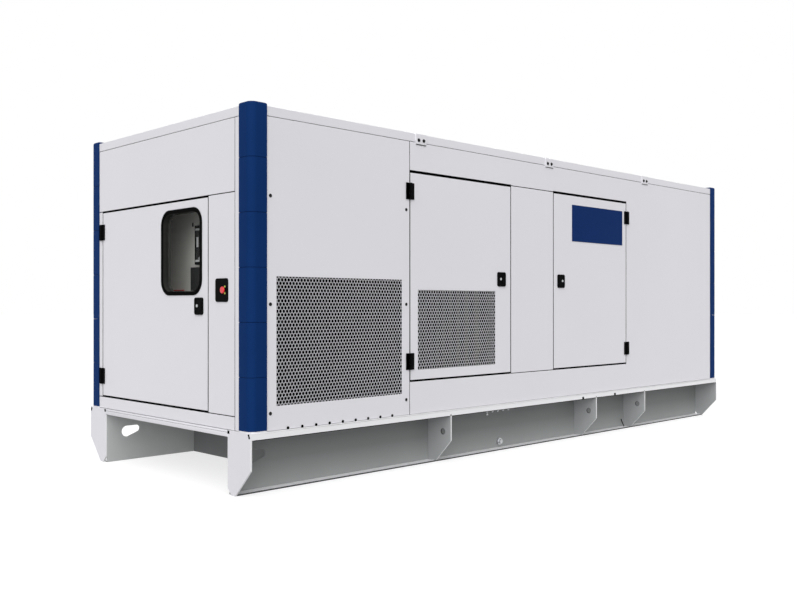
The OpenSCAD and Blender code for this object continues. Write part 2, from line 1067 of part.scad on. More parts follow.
module breaker_cover() {
  z1 = cabinet_z + display_up - display_h / 2 - cover_gap;
  left = display_left + cover_shift;
  color("dimgray")
    box([end_x + control_space - cover_t, left - cover_w, z1 - cover_h],
        [end_x + control_space, left, z1]);
}

// ---- Radiator end ----

module radiator_end_slab(z0, z1) {
  to_radiator_end()
    end_slab(post_w, canopy_w - post_w, z0, z1);
}

module radiator_end_header() {
  color("whitesmoke")
    radiator_end_slab(control_top, wall_top);
}

module radiator_end_panel() {
  color("whitesmoke")
    radiator_end_slab(control_z, control_top);
}

module radiator_end_sill() {
  color("whitesmoke")
    radiator_end_slab(skid_h, control_z);
}

// ---- The set itself ----

module engine_bed() {
  color("dimgray")
    for (y = [-1, 1])
      box([end_x + alternator_at, y * bed_pitch / 2 - bed_w / 2, skid_h],
          [end_x + alternator_at + bed_l, y * bed_pitch / 2 + bed_w / 2, bed_top]);
}

// A foot from the bed rails up to the machine's side.
module machine_foot(s, z1) {
  box([end_x + s - pad_l / 2, -bed_pitch / 2 - bed_w / 2, bed_top],
      [end_x + s + pad_l / 2, bed_pitch / 2 + bed_w / 2, bed_top + pad_t]);
  box([end_x + s - leg_l / 2, -bed_pitch / 2, bed_top + pad_t - 1],
      [end_x + s + leg_l / 2, bed_pitch / 2, z1]);
}

module engine() {
  x0 = end_x + engine_at;
  color("dimgray") {
    translate([x0, 0, shaft_height])
      rotate([0, 90, 0])
        cylinder(h = flywheel_l, r = flywheel_r);
    box([x0 + flywheel_l - 1, -engine_w / 2, shaft_height - block_down],
        [x0 + engine_l, engine_w / 2, shaft_height + engine_up]);
    box([x0 + sump_from, -head_y, bed_top + pad_t],
        [x0 + engine_l - sump_short, head_y, shaft_height - block_down + 1]);
    for (side = [-1, 1])
      translate([x0 + head_from, side * head_y, shaft_height + engine_up - head_drop])
        rotate([side * -head_lean, 0, 0])
          box([0, -head_w / 2, 0], [engine_l - head_from - head_short, head_w / 2, head_h]);
    for (at = [foot_from, engine_l - foot_short])
      machine_foot(engine_at + at, shaft_height - block_down + 1);
    translate([x0 + engine_l - 1, 0, fan_z])
      rotate([0, 90, 0])
        cylinder(h = fan_hub_l + 1, r = fan_hub_r);
    translate([x0 + engine_l + fan_hub_l, 0, fan_z])
      rotate([0, 90, 0])
        cylinder(h = fan_t, r = fan_r);
  }
}

// The two air cleaners lie one behind the other between the cylinder heads.
module air_cleaners() {
  color("darkgray")
    for (at = [engine_l * 0.28, engine_l * 0.28 + cleaner_l + cleaner_gap])
      translate([end_x + engine_at + at, 0, shaft_height + engine_up + cleaner_up])
        rotate([0, 90, 0])
          cylinder(h = cleaner_l, r = cleaner_r);
}

module alternator() {
  x0 = end_x + alternator_at;
  color("steelblue") {
    translate([x0, 0, shaft_height])
      rotate([0, 90, 0])
        cylinder(h = bell_l, r = bell_r);
    translate([x0 + bell_l - 1, 0, shaft_height])
      rotate([0, 90, 0])
        cylinder(h = alternator_l - bell_l + 1, r = alternator_r);
    box([x0 + alternator_l / 2 - terminal_l / 2, -terminal_w / 2, shaft_height],
        [x0 + alternator_l / 2 + terminal_l / 2, terminal_w / 2,
         shaft_height + alternator_r + terminal_up]);
    for (at = [outer_foot_in, alternator_l - inner_foot_in])
      machine_foot(alternator_at + at, shaft_height - alternator_r / 2);
  }
}

module radiator() {
  x0 = end_x + radiator_at;
  half_w = canopy_w / 2 - wall_t;
  color("darkslategray")
    difference() {
      box([x0, -half_w, skid_h], [x0 + radiator_t, half_w, wall_top]);
      translate([x0 - 1, 0, fan_z])
        rotate([0, 90, 0])
          cylinder(h = fan_t, r = fan_r + fan_clear);
    }
}

// ---- The model ----

skid_rail_front();
skid_rail_back();
skid_end_plates();
skid_gussets();
skid_end_members();
skid_crossmembers();
base_deck();
drain_plug();
corner_posts();
roof_panel();
roof_outlet();
roof_brackets();
inlet_panel_front();
inlet_grille_front();
header_front();
sill_front();
pillar_front();
plain_panel_front();
inlet_panel_back();
grilles_back();
header_back();
sill_back();
pillar_back();
plain_panel_back();
air_door_back();
service_door_back();
door_fittings_back();
control_end_header();
control_end_sill();
control_end_jambs();
control_end_side_panel();
stop_plate();
stop_button();
bulkhead();
control_cabinet();
display_panel();
breaker_cover();
radiator_end_header();
radiator_end_panel();
radiator_end_sill();
hinge_leaves_fixed();
engine_bed();
engine();
air_cleaners();
alternator();
radiator();
control_door();
window_gasket();
window_glass();
control_door_fittings();
air_door();
air_door_grille();
air_door_fittings();
service_door();
sign_plate();
service_door_fittings();
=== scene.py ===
import json
import math
import bpy
import bmesh
from mathutils import Matrix, Vector


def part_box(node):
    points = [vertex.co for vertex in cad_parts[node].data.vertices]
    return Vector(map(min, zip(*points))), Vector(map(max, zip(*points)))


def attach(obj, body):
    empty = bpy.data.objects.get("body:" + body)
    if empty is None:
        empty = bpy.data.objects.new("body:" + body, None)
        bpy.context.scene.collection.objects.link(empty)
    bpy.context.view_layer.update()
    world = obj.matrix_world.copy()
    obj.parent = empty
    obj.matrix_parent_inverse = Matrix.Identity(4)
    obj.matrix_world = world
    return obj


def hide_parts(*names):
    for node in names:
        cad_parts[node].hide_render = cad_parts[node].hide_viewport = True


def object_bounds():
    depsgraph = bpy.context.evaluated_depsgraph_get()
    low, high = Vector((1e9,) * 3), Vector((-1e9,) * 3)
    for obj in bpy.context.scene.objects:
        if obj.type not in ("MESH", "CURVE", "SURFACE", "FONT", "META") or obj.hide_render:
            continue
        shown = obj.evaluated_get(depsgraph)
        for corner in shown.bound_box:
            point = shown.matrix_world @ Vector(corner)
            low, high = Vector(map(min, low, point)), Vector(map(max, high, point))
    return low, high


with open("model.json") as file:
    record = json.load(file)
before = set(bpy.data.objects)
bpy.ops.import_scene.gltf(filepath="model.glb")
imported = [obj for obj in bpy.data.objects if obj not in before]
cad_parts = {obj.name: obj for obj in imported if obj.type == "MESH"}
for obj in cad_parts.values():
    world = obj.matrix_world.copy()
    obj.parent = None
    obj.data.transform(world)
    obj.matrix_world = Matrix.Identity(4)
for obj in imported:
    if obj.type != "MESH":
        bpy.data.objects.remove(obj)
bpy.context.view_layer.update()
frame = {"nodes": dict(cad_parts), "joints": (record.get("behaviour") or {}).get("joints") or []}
scene = bpy.context.scene

SET = "set"
CONTROL_LEAF = "control_door_leaf"
AIR_LEAF = "air_door_leaf"
SERVICE_LEAF = "service_door_leaf"


# ---- Places ----

def at(x=0, y=0, z=0):
    return Matrix.Translation((x, y, z))


def turn(degrees, axis):
    return Matrix.Rotation(math.radians(degrees), 4, axis)


HERE = Matrix()
TO_BACK = Matrix.Diagonal((1, -1, 1, 1))
TO_RADIATOR_END = Matrix.Diagonal((-1, 1, 1, 1))
BOTH_SIDES = (HERE, TO_BACK)
BOTH_ENDS = (HERE, TO_RADIATOR_END)
CORNERS = (HERE, TO_BACK, TO_RADIATOR_END, TO_BACK @ TO_RADIATOR_END)
# From the front to the control end, and from a plate that stands to one that lies flat.
END_ON = Matrix(((0, 1, 0, 0), (1, 0, 0, 0), (0, 0, 1, 0), (0, 0, 0, 1)))
FLAT = Matrix(((1, 0, 0, 0), (0, 0, 1, 0), (0, -1, 0, 0), (0, 0, 0, 1)))
# From standing to pointing out of the front, and out of the control end.
OUT_FRONT = turn(90, "X")
OUT_END = turn(-90, "Y")


# ---- Shapes ----

def put(piece, shape, *places):
    """Adds a finished shape to a piece at each place."""
    mesh = bpy.data.meshes.new("shape")
    shape.to_mesh(mesh)
    for place in places or (HERE,):
        copy = mesh.copy()
        copy.transform(place)
        if place.determinant() < 0:
            copy.flip_normals()
        piece.from_mesh(copy)
        bpy.data.meshes.remove(copy)
    bpy.data.meshes.remove(mesh)
    shape.free()


def placed(shape, *places):
    """A new shape: the given one at each place."""
    bm = bmesh.new()
    put(bm, shape, *places)
    return bm


def pair(piece, shape, *places):
    """Adds a shape at each place on the front and, turned over, on the back."""
    put(piece, shape, *[side @ place for side in BOTH_SIDES for place in places or (HERE,)])


def bevel(bm, geom, rim, steps, affect="EDGES"):
    bmesh.ops.bevel(bm, geom=geom, offset=rim, offset_type="OFFSET", segments=steps,
                    profile=0.5, affect=affect, material=-1, clamp_overlap=True)


def round_off(bm, rim, steps=2, keep=lambda edge: True):
    """Rounds the folded edges of a shape."""
    bevel(bm, [e for e in bm.edges if len(e.link_faces) == 2 and e.calc_face_angle() > 0.5
               and keep(e)], rim, steps)


def block(low, high, rim=0.0, steps=2):
    """A box between two corners, its edges rounded by rim."""
    low, high = Vector(low), Vector(high)
    bm = bmesh.new()
    bmesh.ops.create_cube(bm, size=1, matrix=Matrix.LocRotScale((low + high) / 2, None, high - low))
    if rim:
        round_off(bm, rim, steps)
    return bm


def drum(radius, length, sides=32, rim=0.0, steps=2):
    """A round bar standing on the origin along z."""
    bm = bmesh.new()
    bmesh.ops.create_cone(bm, cap_ends=True, segments=sides, radius1=radius, radius2=radius,
                          depth=length, matrix=at(0, 0, length / 2))
    if rim:
        round_off(bm, rim, steps, lambda e: abs(e.verts[0].co.z - e.verts[1].co.z) < 1e-6)
    return bm


def lying(radius, length, sides=40, rim=0.003, steps=2):
    """A round bar along x from the origin."""
    return placed(drum(radius, length, sides, rim, steps), turn(90, "Y"))


def hex_bolt(width, head, washer=0.0016):
    """A bolt head on its washer, standing along z."""
    bm = drum(width / 2, head, 6, 0.0012, 2)
    put(bm, drum(width * 0.72, washer, 20, 0.0004, 1))
    return bm


def thicken(bm, depth, rim=0.0, steps=2):
    """Gives flat sheets their thickness along y, then rounds their edges."""
    more = bmesh.ops.extrude_face_region(bm, geom=bm.faces[:])["geom"]
    bmesh.ops.translate(bm, verts=[g for g in more if isinstance(g, bmesh.types.BMVert)],
                        vec=(0, depth, 0))
    bmesh.ops.recalc_face_normals(bm, faces=bm.faces[:])
    if rim:
        round_off(bm, rim, steps)
    return bm


def slide(bm, y):
    bmesh.ops.translate(bm, verts=bm.verts[:], vec=(0, y, 0))


def pane(low, high, corner=0.0, steps=8):
    """One flat face in x and z, with round corners."""
    bm = bmesh.new()
    w, h = high[0] - low[0], high[1] - low[1]
    place = at((low[0] + high[0]) / 2, 0, (low[1] + high[1]) / 2) @ turn(90, "X")
    made = bmesh.ops.create_grid(bm, x_segments=1, y_segments=1, size=0.5,
                                 matrix=place @ Matrix.Diagonal((w, h, 1, 1)))
    if corner:
        bevel(bm, made["verts"], corner, steps, "VERTICES")
    return bm


def board(low, high, y0, y1, corner, steps, rim=0.0):
    """A sheet in x and z with round corners, from y0 to y1."""
    bm = pane(low, high, corner, steps)
    slide(bm, y0)
    return thicken(bm, y1 - y0, rim)


def corners(low, high):
    return [(low[0], low[1]), (high[0], low[1]), (high[0], high[1]), (low[0], high[1])]


def arc(x, z, radius, start, end, steps=10):
    """Points along part of a circle in x and z, from one angle to another in degrees."""
    turns = [math.radians(start + (end - start) * i / steps) for i in range(steps + 1)]
    return [(x + radius * math.cos(a), z + radius * math.sin(a)) for a in turns]


def outline(bm, points):
    verts = [bm.verts.new((x, 0, z)) for x, z in points]
    for a, b in zip(verts, verts[1:] + verts[:1]):
        bm.edges.new((a, b))


def fill(bm):
    bmesh.ops.triangle_fill(bm, use_beauty=True, use_dissolve=False, edges=bm.edges[:])


def plate(points, depth, rim=0.0, steps=2, holes=()):
    """A flat plate from an outline in x and z, thick along y, with holes given by outlines."""
    bm = bmesh.new()
    for line in (points, *holes):
        outline(bm, line)
    fill(bm)
    return thicken(bm, depth, rim, steps)


def wall_panel(low, high, hole=None, corner=0.0, seam=0.0006):
    """A wall panel thick along y, with a cut-out through it, drawn in by seam on all sides."""
    bm = bmesh.new()
    outline(bm, corners((low.x + seam, low.z + seam), (high.x - seam, high.z - seam)))
    if hole:
        put(bm, pane(*hole, corner, 10))
        bmesh.ops.delete(bm, geom=bm.faces[:], context="FACES_ONLY")
    fill(bm)
    slide(bm, low.y)
    return thicken(bm, high.y - low.y, 0.0015)


def pipe(path, radius, sides=12):
    """A bent pipe or hose along a smooth path, with closed ends."""
    curve = bpy.data.curves.new("route", "CURVE")
    curve.dimensions = "3D"
    curve.bevel_depth = radius
    curve.bevel_resolution = sides // 4
    curve.resolution_u = 8
    curve.use_fill_caps = True
    line = curve.splines.new("BEZIER")
    line.bezier_points.add(len(path) - 1)
    for point, place in zip(line.bezier_points, path):
        point.co = place
        point.handle_left_type = point.handle_right_type = "AUTO"
    route = bpy.data.objects.new("route", curve)
    mesh = bpy.data.meshes.new_from_object(route)
    bm = bmesh.new()
    bm.from_mesh(mesh)
    bmesh.ops.remove_doubles(bm, verts=bm.verts[:], dist=1e-5)
    bmesh.ops.recalc_face_normals(bm, faces=bm.faces[:])
    bpy.data.objects.remove(route)
    bpy.data.curves.remove(curve)
    bpy.data.meshes.remove(mesh)
    return bm


def paint_inside(bm, axis, sign, edges=2):
    """Gives a wall's inner face its second finish and its edges another; on the side and end walls
    the edges take the seam shade black, painted shade that makes the seams read dark.
    """
    for face in bm.faces:
        if face.normal[axis] * sign > 0.99:
            face.material_index = 1
        elif abs(face.normal[axis]) < 0.1:
            face.material_index = edges
    return bm


def stand(name, data, place=(0, 0, 0), angles=(0, 0, 0)):
    """A new object in the scene, at a place and turned by angles."""
    made = bpy.data.objects.new(name, data)
    made.location, made.rotation_euler = place, angles
    scene.collection.objects.link(made)
    return made


def new_object(name, bm, *finishes):
    mesh = bpy.data.meshes.new(name)
    bm.normal_update()
    bm.to_mesh(mesh)
    bm.free()
    for material in finishes:
        mesh.materials.append(material)
    mesh.polygons.foreach_set("use_smooth", [True] * len(mesh.polygons))
    mesh.set_sharp_from_angle(angle=math.radians(21))
    return stand(name, mesh)


def finish(name, bm, finishes, slot, *nodes, body=SET):
    """Makes a shape a piece, with its finish, its body and the nodes it stands for."""
    made = new_object(name, bm, *(finishes if isinstance(finishes, tuple) else (finishes,)))
    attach(made, body)
    if nodes:
        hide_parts(*nodes)


def both_sides(name, make, finishes, slot, *nodes):
    """A piece of the front and, turned over, of the back. The nodes' names lack the side."""
    for side, place in zip(("_front", "_back"), BOTH_SIDES):
        finish(name + side, placed(make(), place), finishes, slot, *[node + side for node in nodes])


# ---- Finishes ----

def rgb(red, green, blue):
    """A paint chart colour, 0 to 255, as the linear colour that a shader takes."""
    chart = [c / 255 for c in (red, green, blue)]
    return [c / 12.92 if c < 0.04045 else ((c + 0.055) / 1.055) ** 2.4 for c in chart]


def feed(tree, node, inputs):
    """Sets a node's inputs to values, or links sockets to them."""
    for name, value in inputs.items():
        if isinstance(value, bpy.types.NodeSocket):
            tree.links.new(value, node.inputs[name])
        else:
            node.inputs[name].default_value = value


def wire(tree, kind, inputs, output=0, **settings):
    """A new shader node with its inputs fed. Gives one of its outputs."""
    node = tree.nodes.new("ShaderNode" + kind)
    for name, value in settings.items():
        setattr(node, name, value)
    feed(tree, node, inputs)
    return node.outputs[output]


def coat(name, colour, rough, tone, tone_scale, grain_scale, grain, metallic=0.0, clear=0.0,
         spread=0.05, speck=0.0, kind="NOISE", shine=0.5, fade=None):
    """A surface with a slow drift of tone, an uneven gloss and a fine grain.

    fade makes it change with height: low z, high z, brightness at the low and the high one."""
    material = bpy.data.materials.new(name)
    material.use_nodes = True
    tree = material.node_tree
    place = wire(tree, "TexCoord", {}, "Object")

    def noise(scale, detail, roughness=0.55):
        return wire(tree, "TexNoise", {
            "Scale": scale, "Detail": detail, "Roughness": roughness, "Vector": place})

    def shade(factor):
        return [min(1, c * factor) for c in rgb(*colour)] + [1]

    last = wire(tree, "ValToRGB", {"Fac": noise(tone_scale, 4)})
    ramp = last.node.color_ramp.elements
    for stop, position, factor in zip(ramp, (0.3, 0.7), (1 - tone, 1 + tone)):
        stop.position, stop.color = position, shade(factor)
    if speck:
        flecks = wire(tree, "MapRange", {
            "Value": noise(tone_scale * 90, 2, 0.6), "From Min": 0.62, "From Max": 0.72,
            "To Max": speck})
        last = wire(tree, "Mix", {"Factor": flecks, "A": last, "B": shade(0.55)}, "Result",
                    data_type="RGBA")
    if fade:
        height = wire(tree, "SeparateXYZ", {"Vector": place}, "Z")
        ends = dict(zip(("From Min", "From Max", "To Min", "To Max"), fade))
        change = wire(tree, "MapRange", {"Value": height, **ends})
        last = wire(tree, "HueSaturation", {"Value": change, "Color": last})
    gloss = wire(tree, "MapRange", {
        "Value": noise(tone_scale * 6, 3), "To Min": max(0.02, rough - spread),
        "To Max": min(1, rough + spread)})
    if kind == "NOISE":
        pattern = noise(grain_scale, 2)
    else:
        pattern = wire(tree, "TexVoronoi", {"Scale": grain_scale, "Vector": place},
                       feature="SMOOTH_F1" if kind == "CAST" else "F1")
    bump = wire(tree, "Bump", {"Strength": grain, "Distance": 0.6 / grain_scale, "Height": pattern})
    feed(tree, tree.nodes["Principled BSDF"], {
        "Base Color": last, "Roughness": gloss, "Normal": bump, "Metallic": metallic,
        "Coat Weight": clear, "Specular IOR Level": shine})
    return material


def skid_paint(name, colour, shine=0.2, **more):
    """The skid's white paint as it shows in one kind of shade."""
    return coat(name, colour, 0.6, 0.03, 1.6, 260, 0.1, shine=shine, **more)


white_coat = coat("white_powder_coat", (226, 225, 230), 0.5, 0.012, 0.9, 300, 0.05, shine=0.3)
skid_coat = coat("skid_powder_coat", (240, 240, 242), 0.5, 0.015, 1.3, 260, 0.07, shine=0.3)
# Painted shade: the skid's white paint made grey for the web in the shade of the top plate and lip,
# lighter low down and darker toward the top.
channel_shade_paint = skid_paint("skid_channel_coat", (142, 144, 144), fade=(0.02, 0.17, 1.22, 0.84))
# Painted shade: the skid's white paint made grey for the gussets' faces and the end plates' inward
# faces, which stand in the channel's shade.
gusset_shade_paint = skid_paint("skid_gusset_coat", (166, 168, 169))
# Painted shade: the skid's white paint made grey for the rails' inner faces and the deck inside the
# set.
inner_shade_paint = skid_paint("skid_inner_coat", (188, 190, 190))
# Painted shade: the skid's white paint made darker grey for the crossmembers in the shade under the
# set.
cross_shade_paint = skid_paint("skid_cross_coat", (128, 129, 130))
# Painted shade: dark grey for the foot's outer edge, the walls of the gusset eyes and the shadow
# line along the end angles.
edge_shade_paint = skid_paint("skid_edge_coat", (66, 67, 68), 0.15)
grille_coat = coat("grille_powder_coat", (222, 221, 226), 0.5, 0.015, 1.5, 500, 0.04, shine=0.3)
blue_coat = coat("blue_powder_coat", (15, 47, 98), 0.6, 0.05, 2.2, 320, 0.06, shine=0.03)
sign_enamel = coat("blue_sign_enamel", (14, 44, 96), 0.5, 0.04, 3.0, 260, 0.03, shine=0.03)
black_moulding = coat("black_moulding", (4, 4, 5), 0.6, 0.15, 22, 900, 0.25, kind="F1", shine=0.03)
black_rubber = coat("black_rubber", (3, 3, 3), 0.7, 0.12, 14, 700, 0.2, shine=0.02)
# Painted shade: near black for the cut edges of the wall and door panels, so the seams and door
# gaps read dark, and for small dark marks that stand for shade on the skid.
seam_black = coat("seam_black", (6, 6, 7), 0.9, 0.1, 6, 300, 0.1, shine=0.03)
bolt_black = coat("blackened_steel", (16, 16, 17), 0.5, 0.1, 30, 800, 0.1, shine=0.2)
baffle_black = coat("baffle_black", (9, 9, 10), 0.95, 0.2, 9, 110, 0.5, kind="CAST", shine=0.05)
red_moulding = coat("red_moulding", (226, 30, 38), 0.28, 0.05, 25, 600, 0.05, clear=0.3)
lug_yellow = coat("lug_yellow", (196, 204, 96), 0.5, 0.05, 25, 600, 0.05, shine=0.3)
sleeve_grey = coat("sleeve_grey", (48, 49, 46), 0.7, 0.1, 14, 500, 0.1, shine=0.05)
sleeve_pale = coat("sleeve_pale_grey", (68, 69, 65), 0.7, 0.1, 14, 500, 0.1, shine=0.05)
zinc = coat("bright_zinc", (190, 192, 194), 0.34, 0.08, 40, 700, 0.15, metallic=0.9)
cabinet_coat = coat("cabinet_powder_coat", (230, 230, 223), 0.5, 0.03, 3, 380, 0.12)
frame_coat = coat("chassis_black", (30, 31, 32), 0.45, 0.08, 3, 300, 0.12)
engine_enamel = coat("engine_enamel", (122, 128, 130), 0.4, 0.08, 5, 240, 0.4, speck=0.15,
                     kind="CAST")
machine_blue = coat("alternator_enamel", (52, 82, 118), 0.38, 0.06, 4, 240, 0.3, kind="CAST")
cleaner_coat = coat("air_cleaner_coat", (96, 99, 102), 0.4, 0.05, 5, 320, 0.1)
foam = coat("acoustic_foam", (34, 34, 36), 0.95, 0.2, 9, 110, 0.9, kind="CAST")
core_black = coat("cooler_core", (30, 31, 32), 0.5, 0.1, 6, 400, 0.3)
screen_grey = coat("screen_glass", (128, 142, 136), 0.16, 0.05, 9, 300, 0.02, clear=0.5)
label_grey = coat("key_pad_grey", (226, 228, 229), 0.5, 0.04, 12, 500, 0.08)
window_tint = coat("window_tint", (40, 42, 40), 0.05, 0.02, 2, 200, 0.01, spread=0.02)
window_tint.node_tree.nodes["Principled BSDF"].inputs["Alpha"].default_value = 0.05


# ---- Camera, floor and light ----

EYE, HEADING = (-5.6139, -5.0824, 1.0737), -44.2699
LENS, LENS_RISE = 41.1728463, 0.00863

camera = bpy.data.cameras.new("camera")
camera.sensor_width = 36
camera.lens = LENS
camera.shift_y = LENS_RISE
camera.clip_end = 200
scene.camera = stand("camera", camera, EYE, (math.radians(90), 0, math.radians(HEADING)))
scene.view_settings.view_transform = "Standard"


def straight_to_camera(tree):
    """1 for what the camera, a mirror or glass sees straight, 0 for light on the object."""
    ray = wire(tree, "LightPath", {}).node.outputs
    seen = wire(tree, "Math", {0: ray["Is Camera Ray"], 1: ray["Is Glossy Ray"]},
                operation="MAXIMUM")
    return wire(tree, "Math", {0: seen, 1: ray["Is Transmission Ray"]}, operation="MAXIMUM")


def level(tree, seen, lit, shown):
    """A strength that differs for light on the object and for what is seen straight."""
    return wire(tree, "MapRange", {"Value": seen, "To Min": lit, "To Max": shown})


world = bpy.data.worlds.new("studio")
scene.world = world
world.use_nodes = True
tree = world.node_tree
feed(tree, tree.nodes["Background"], {
    "Color": (1, 1, 1, 1), "Strength": level(tree, straight_to_camera(tree), 0.32, 1.0)})

floor_paper = bpy.data.materials.new("floor_paper")
floor_paper.use_nodes = True
tree = floor_paper.node_tree
seen = straight_to_camera(tree)
feed(tree, tree.nodes["Principled BSDF"], {
    "Roughness": 0.9, "Specular IOR Level": 0.0, "Emission Color": (1, 1, 1, 1),
    "Base Color": level(tree, seen, 0.15, 0.4), "Emission Strength": level(tree, seen, 0.3, 0.7)})
paper = bmesh.new()
bmesh.ops.create_grid(paper, x_segments=1, y_segments=1, size=90)
floor = new_object("floor", paper, floor_paper)
floor.location.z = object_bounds()[0].z - 0.0005


def soft_sun(name, toward, height, strength, spread):
    """A wide, even lamp: it stands toward (x, y) from the set, height degrees up."""
    lamp = bpy.data.lights.new(name, "SUN")
    lamp.energy = strength
    lamp.angle = math.radians(spread)
    flat = Vector(toward).normalized() * math.cos(math.radians(height))
    out = Vector((flat.x, flat.y, math.sin(math.radians(height))))
    stand(name, lamp, out * 12, out.to_track_quat("Z", "Y").to_euler())


soft_sun("key_lamp", (-1.09, -1), 40, 2.87, 75)
soft_sun("back_lamp", (1, 1), 25, 1.9, 40)


# ---- Canopy ----

SEAM, DOOR_SEAM, SHEET_IN = 0.0026, 0.0006, 0.0025
inlet_low, inlet_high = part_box("inlet_panel_front")
wall_y, skid_top, wall_top = inlet_low.y, inlet_low.z, inlet_high.z
wall = inlet_high.y - inlet_low.y
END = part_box("control_end_header")[0].x
# Finishes that come back, each with its slot.
# The third finish of these, for the panels' edges, is painted shade for the seams.
LINED_WHITE = (white_coat, foam, seam_black), "white_paint"
ALL_WHITE = (white_coat, white_coat, seam_black), "white_paint"
MOULDED = black_moulding, "black_plastic"
BRIGHT = zinc, "bare_steel"
SHADE_AND_SEAL_BLACK = seam_black, "black_rubber"


def flat_box(node, axes="xz", inset=0.0):
    """A node's two corners in two of its axes, drawn in by inset."""
    low, high = (getattr(corner, axes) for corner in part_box(node))
    return [c + inset for c in low], [c - inset for c in high]


def front_wall(node, hole=None, seam=SEAM):
    """A wall shape of the front side, its inner face lined with foam."""
    return paint_inside(wall_panel(*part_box(node), hole, seam=seam), 1, 1)


def wide_wall():
    """Header, plain panel and sill in one sheet, folded round the two doorways."""
    header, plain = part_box("header_front"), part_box("plain_panel_front")
    sill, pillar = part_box("sill_front"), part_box("pillar_front")
    x0, x1, x2, x3 = header[0].x + SEAM, pillar[0].x, pillar[1].x, plain[0].x + SEAM
    z0, z1, z2, z3 = sill[0].z + SEAM, sill[1].z - SEAM, header[0].z + SEAM, header[1].z - SEAM
    over_door, far_x = z2 + 0.0045, plain[1].x - SEAM
    sheet = plate([(x0, z0), (far_x, z0), (far_x, z3), (x0, z3), (x0, over_door), (x1, over_door),
                   (x1, z2), (x2, z2), (x2, over_door), (x3, over_door), (x3, z1), (x0, z1)],
                  wall, 0.0015)
    return paint_inside(placed(sheet, at(0, wall_y, 0)), 1, 1)


both_sides("inlet_wall", lambda: front_wall("inlet_panel_front", flat_box("inlet_grille_front")),
           *LINED_WHITE, "inlet_panel")
both_sides("pillar_wall", lambda: front_wall("pillar_front"), *LINED_WHITE, "pillar")
both_sides("wide_wall", wide_wall, *LINED_WHITE, "header", "plain_panel", "sill")


def hex_cell(pitch, row, hole):
    """One cell of a punched sheet: a six-sided patch with a round hole in it."""
    bm = bmesh.new()
    stretch = Matrix.Diagonal((1, row / pitch * 2 / math.sqrt(3), 1, 1))
    bmesh.ops.create_circle(bm, segments=6, radius=pitch / math.sqrt(3),
                            matrix=OUT_FRONT @ stretch @ turn(30, "Z"))
    bmesh.ops.subdivide_edges(bm, edges=bm.edges[:], cuts=1)
    bmesh.ops.create_circle(bm, segments=12, radius=hole / 2, matrix=OUT_FRONT)
    bmesh.ops.bridge_loops(bm, edges=bm.edges[:])
    return bm


def punched_sheet(low, high, y, thick=0.0015, pitch=0.02327, row=0.0198, hole=0.0202):
    """A sheet with staggered round holes, its rough edge inside the panel it fills."""
    across = math.ceil((high.x - low.x) / pitch) + 1
    rows = math.ceil((high.z - low.z) / row) + 1
    x0 = (low.x + high.x - (across - 0.5) * pitch) / 2 + pitch / 4
    z0 = (low.z + high.z - (rows - 1) * row) / 2
    strip = placed(hex_cell(pitch, row, hole), *[at(x0 + i * pitch, y, z0) for i in range(across)])
    sheet = placed(strip, *[at(pitch / 2 * (j % 2), 0, row * j) for j in range(rows)])
    bmesh.ops.remove_doubles(sheet, verts=sheet.verts[:], dist=2e-5)
    return thicken(sheet, thick)


GRILLES = (("inlet_punched_sheet", "inlet_baffle_front", "inlet_grille_front", SET),
           ("air_door_punched_sheet", "air_door_baffle", "air_door_grille", AIR_LEAF))
for name, _, node, body in GRILLES:
    sheet = punched_sheet(*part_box(node), wall_y + SHEET_IN)
    sheet_back = placed(sheet.copy(), TO_BACK)
    finish(name, sheet, grille_coat, "white_paint", node, body=body)
    finish(name + "_back", sheet_back, grille_coat, "white_paint", "grilles_back")
baffles_back = bmesh.new()
for _, name, node, body in GRILLES:
    low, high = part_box(node)
    baffle = block((low.x - 0.004, wall_y + wall - 0.012, low.z - 0.004),
                   (high.x + 0.004, wall_y + wall - 0.002, high.z + 0.004), 0.002)
    put(baffles_back, baffle.copy(), TO_BACK)
    finish(name, baffle, baffle_black, "black_rubber", body=body)
finish("baffles_back", baffles_back, baffle_black, "black_rubber")

LONG_DOORS = (("air_door", flat_box("air_door_grille"), AIR_LEAF),
              ("service_door", None, SERVICE_LEAF))
for node, hole, body in LONG_DOORS:
    finish(node + "_leaf_panel", front_wall(node, hole, DOOR_SEAM), *LINED_WHITE, node, body=body)
for node, hole, _ in LONG_DOORS:
    finish(node + "_back_panel", placed(front_wall(node, hole, DOOR_SEAM), TO_BACK),
           *LINED_WHITE, node + "_back")


# Corner posts, in six stacked lengths each.

post_low, post_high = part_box("corner_posts")
post_x, post_y, post_z = post_low
in_x, in_y = inlet_low.x, post_y + inlet_low.x - post_x
POST_LENGTHS, POST_R, POST_BASE, POST_GAP = 6, 0.045, 0.007, 0.0015


def level_at(edge, z):
    return all(abs(v.co.z - z) < 1e-5 for v in edge.verts)


def post_length(bottom, top, last):
    bm = block((post_x, post_y, bottom), (in_x, in_y, top))
    bevel(bm, [e for e in bm.edges
               if all(abs(v.co.x - post_x) + abs(v.co.y - post_y) < 1e-5 for v in e.verts)],
          POST_R, 12)
    if last:
        round_off(bm, min(0.012, (top - bottom) / 4), 4, lambda e: level_at(e, top))
    round_off(bm, 0.002, 2, lambda e: level_at(e, bottom) or not last and level_at(e, top))
    return bm


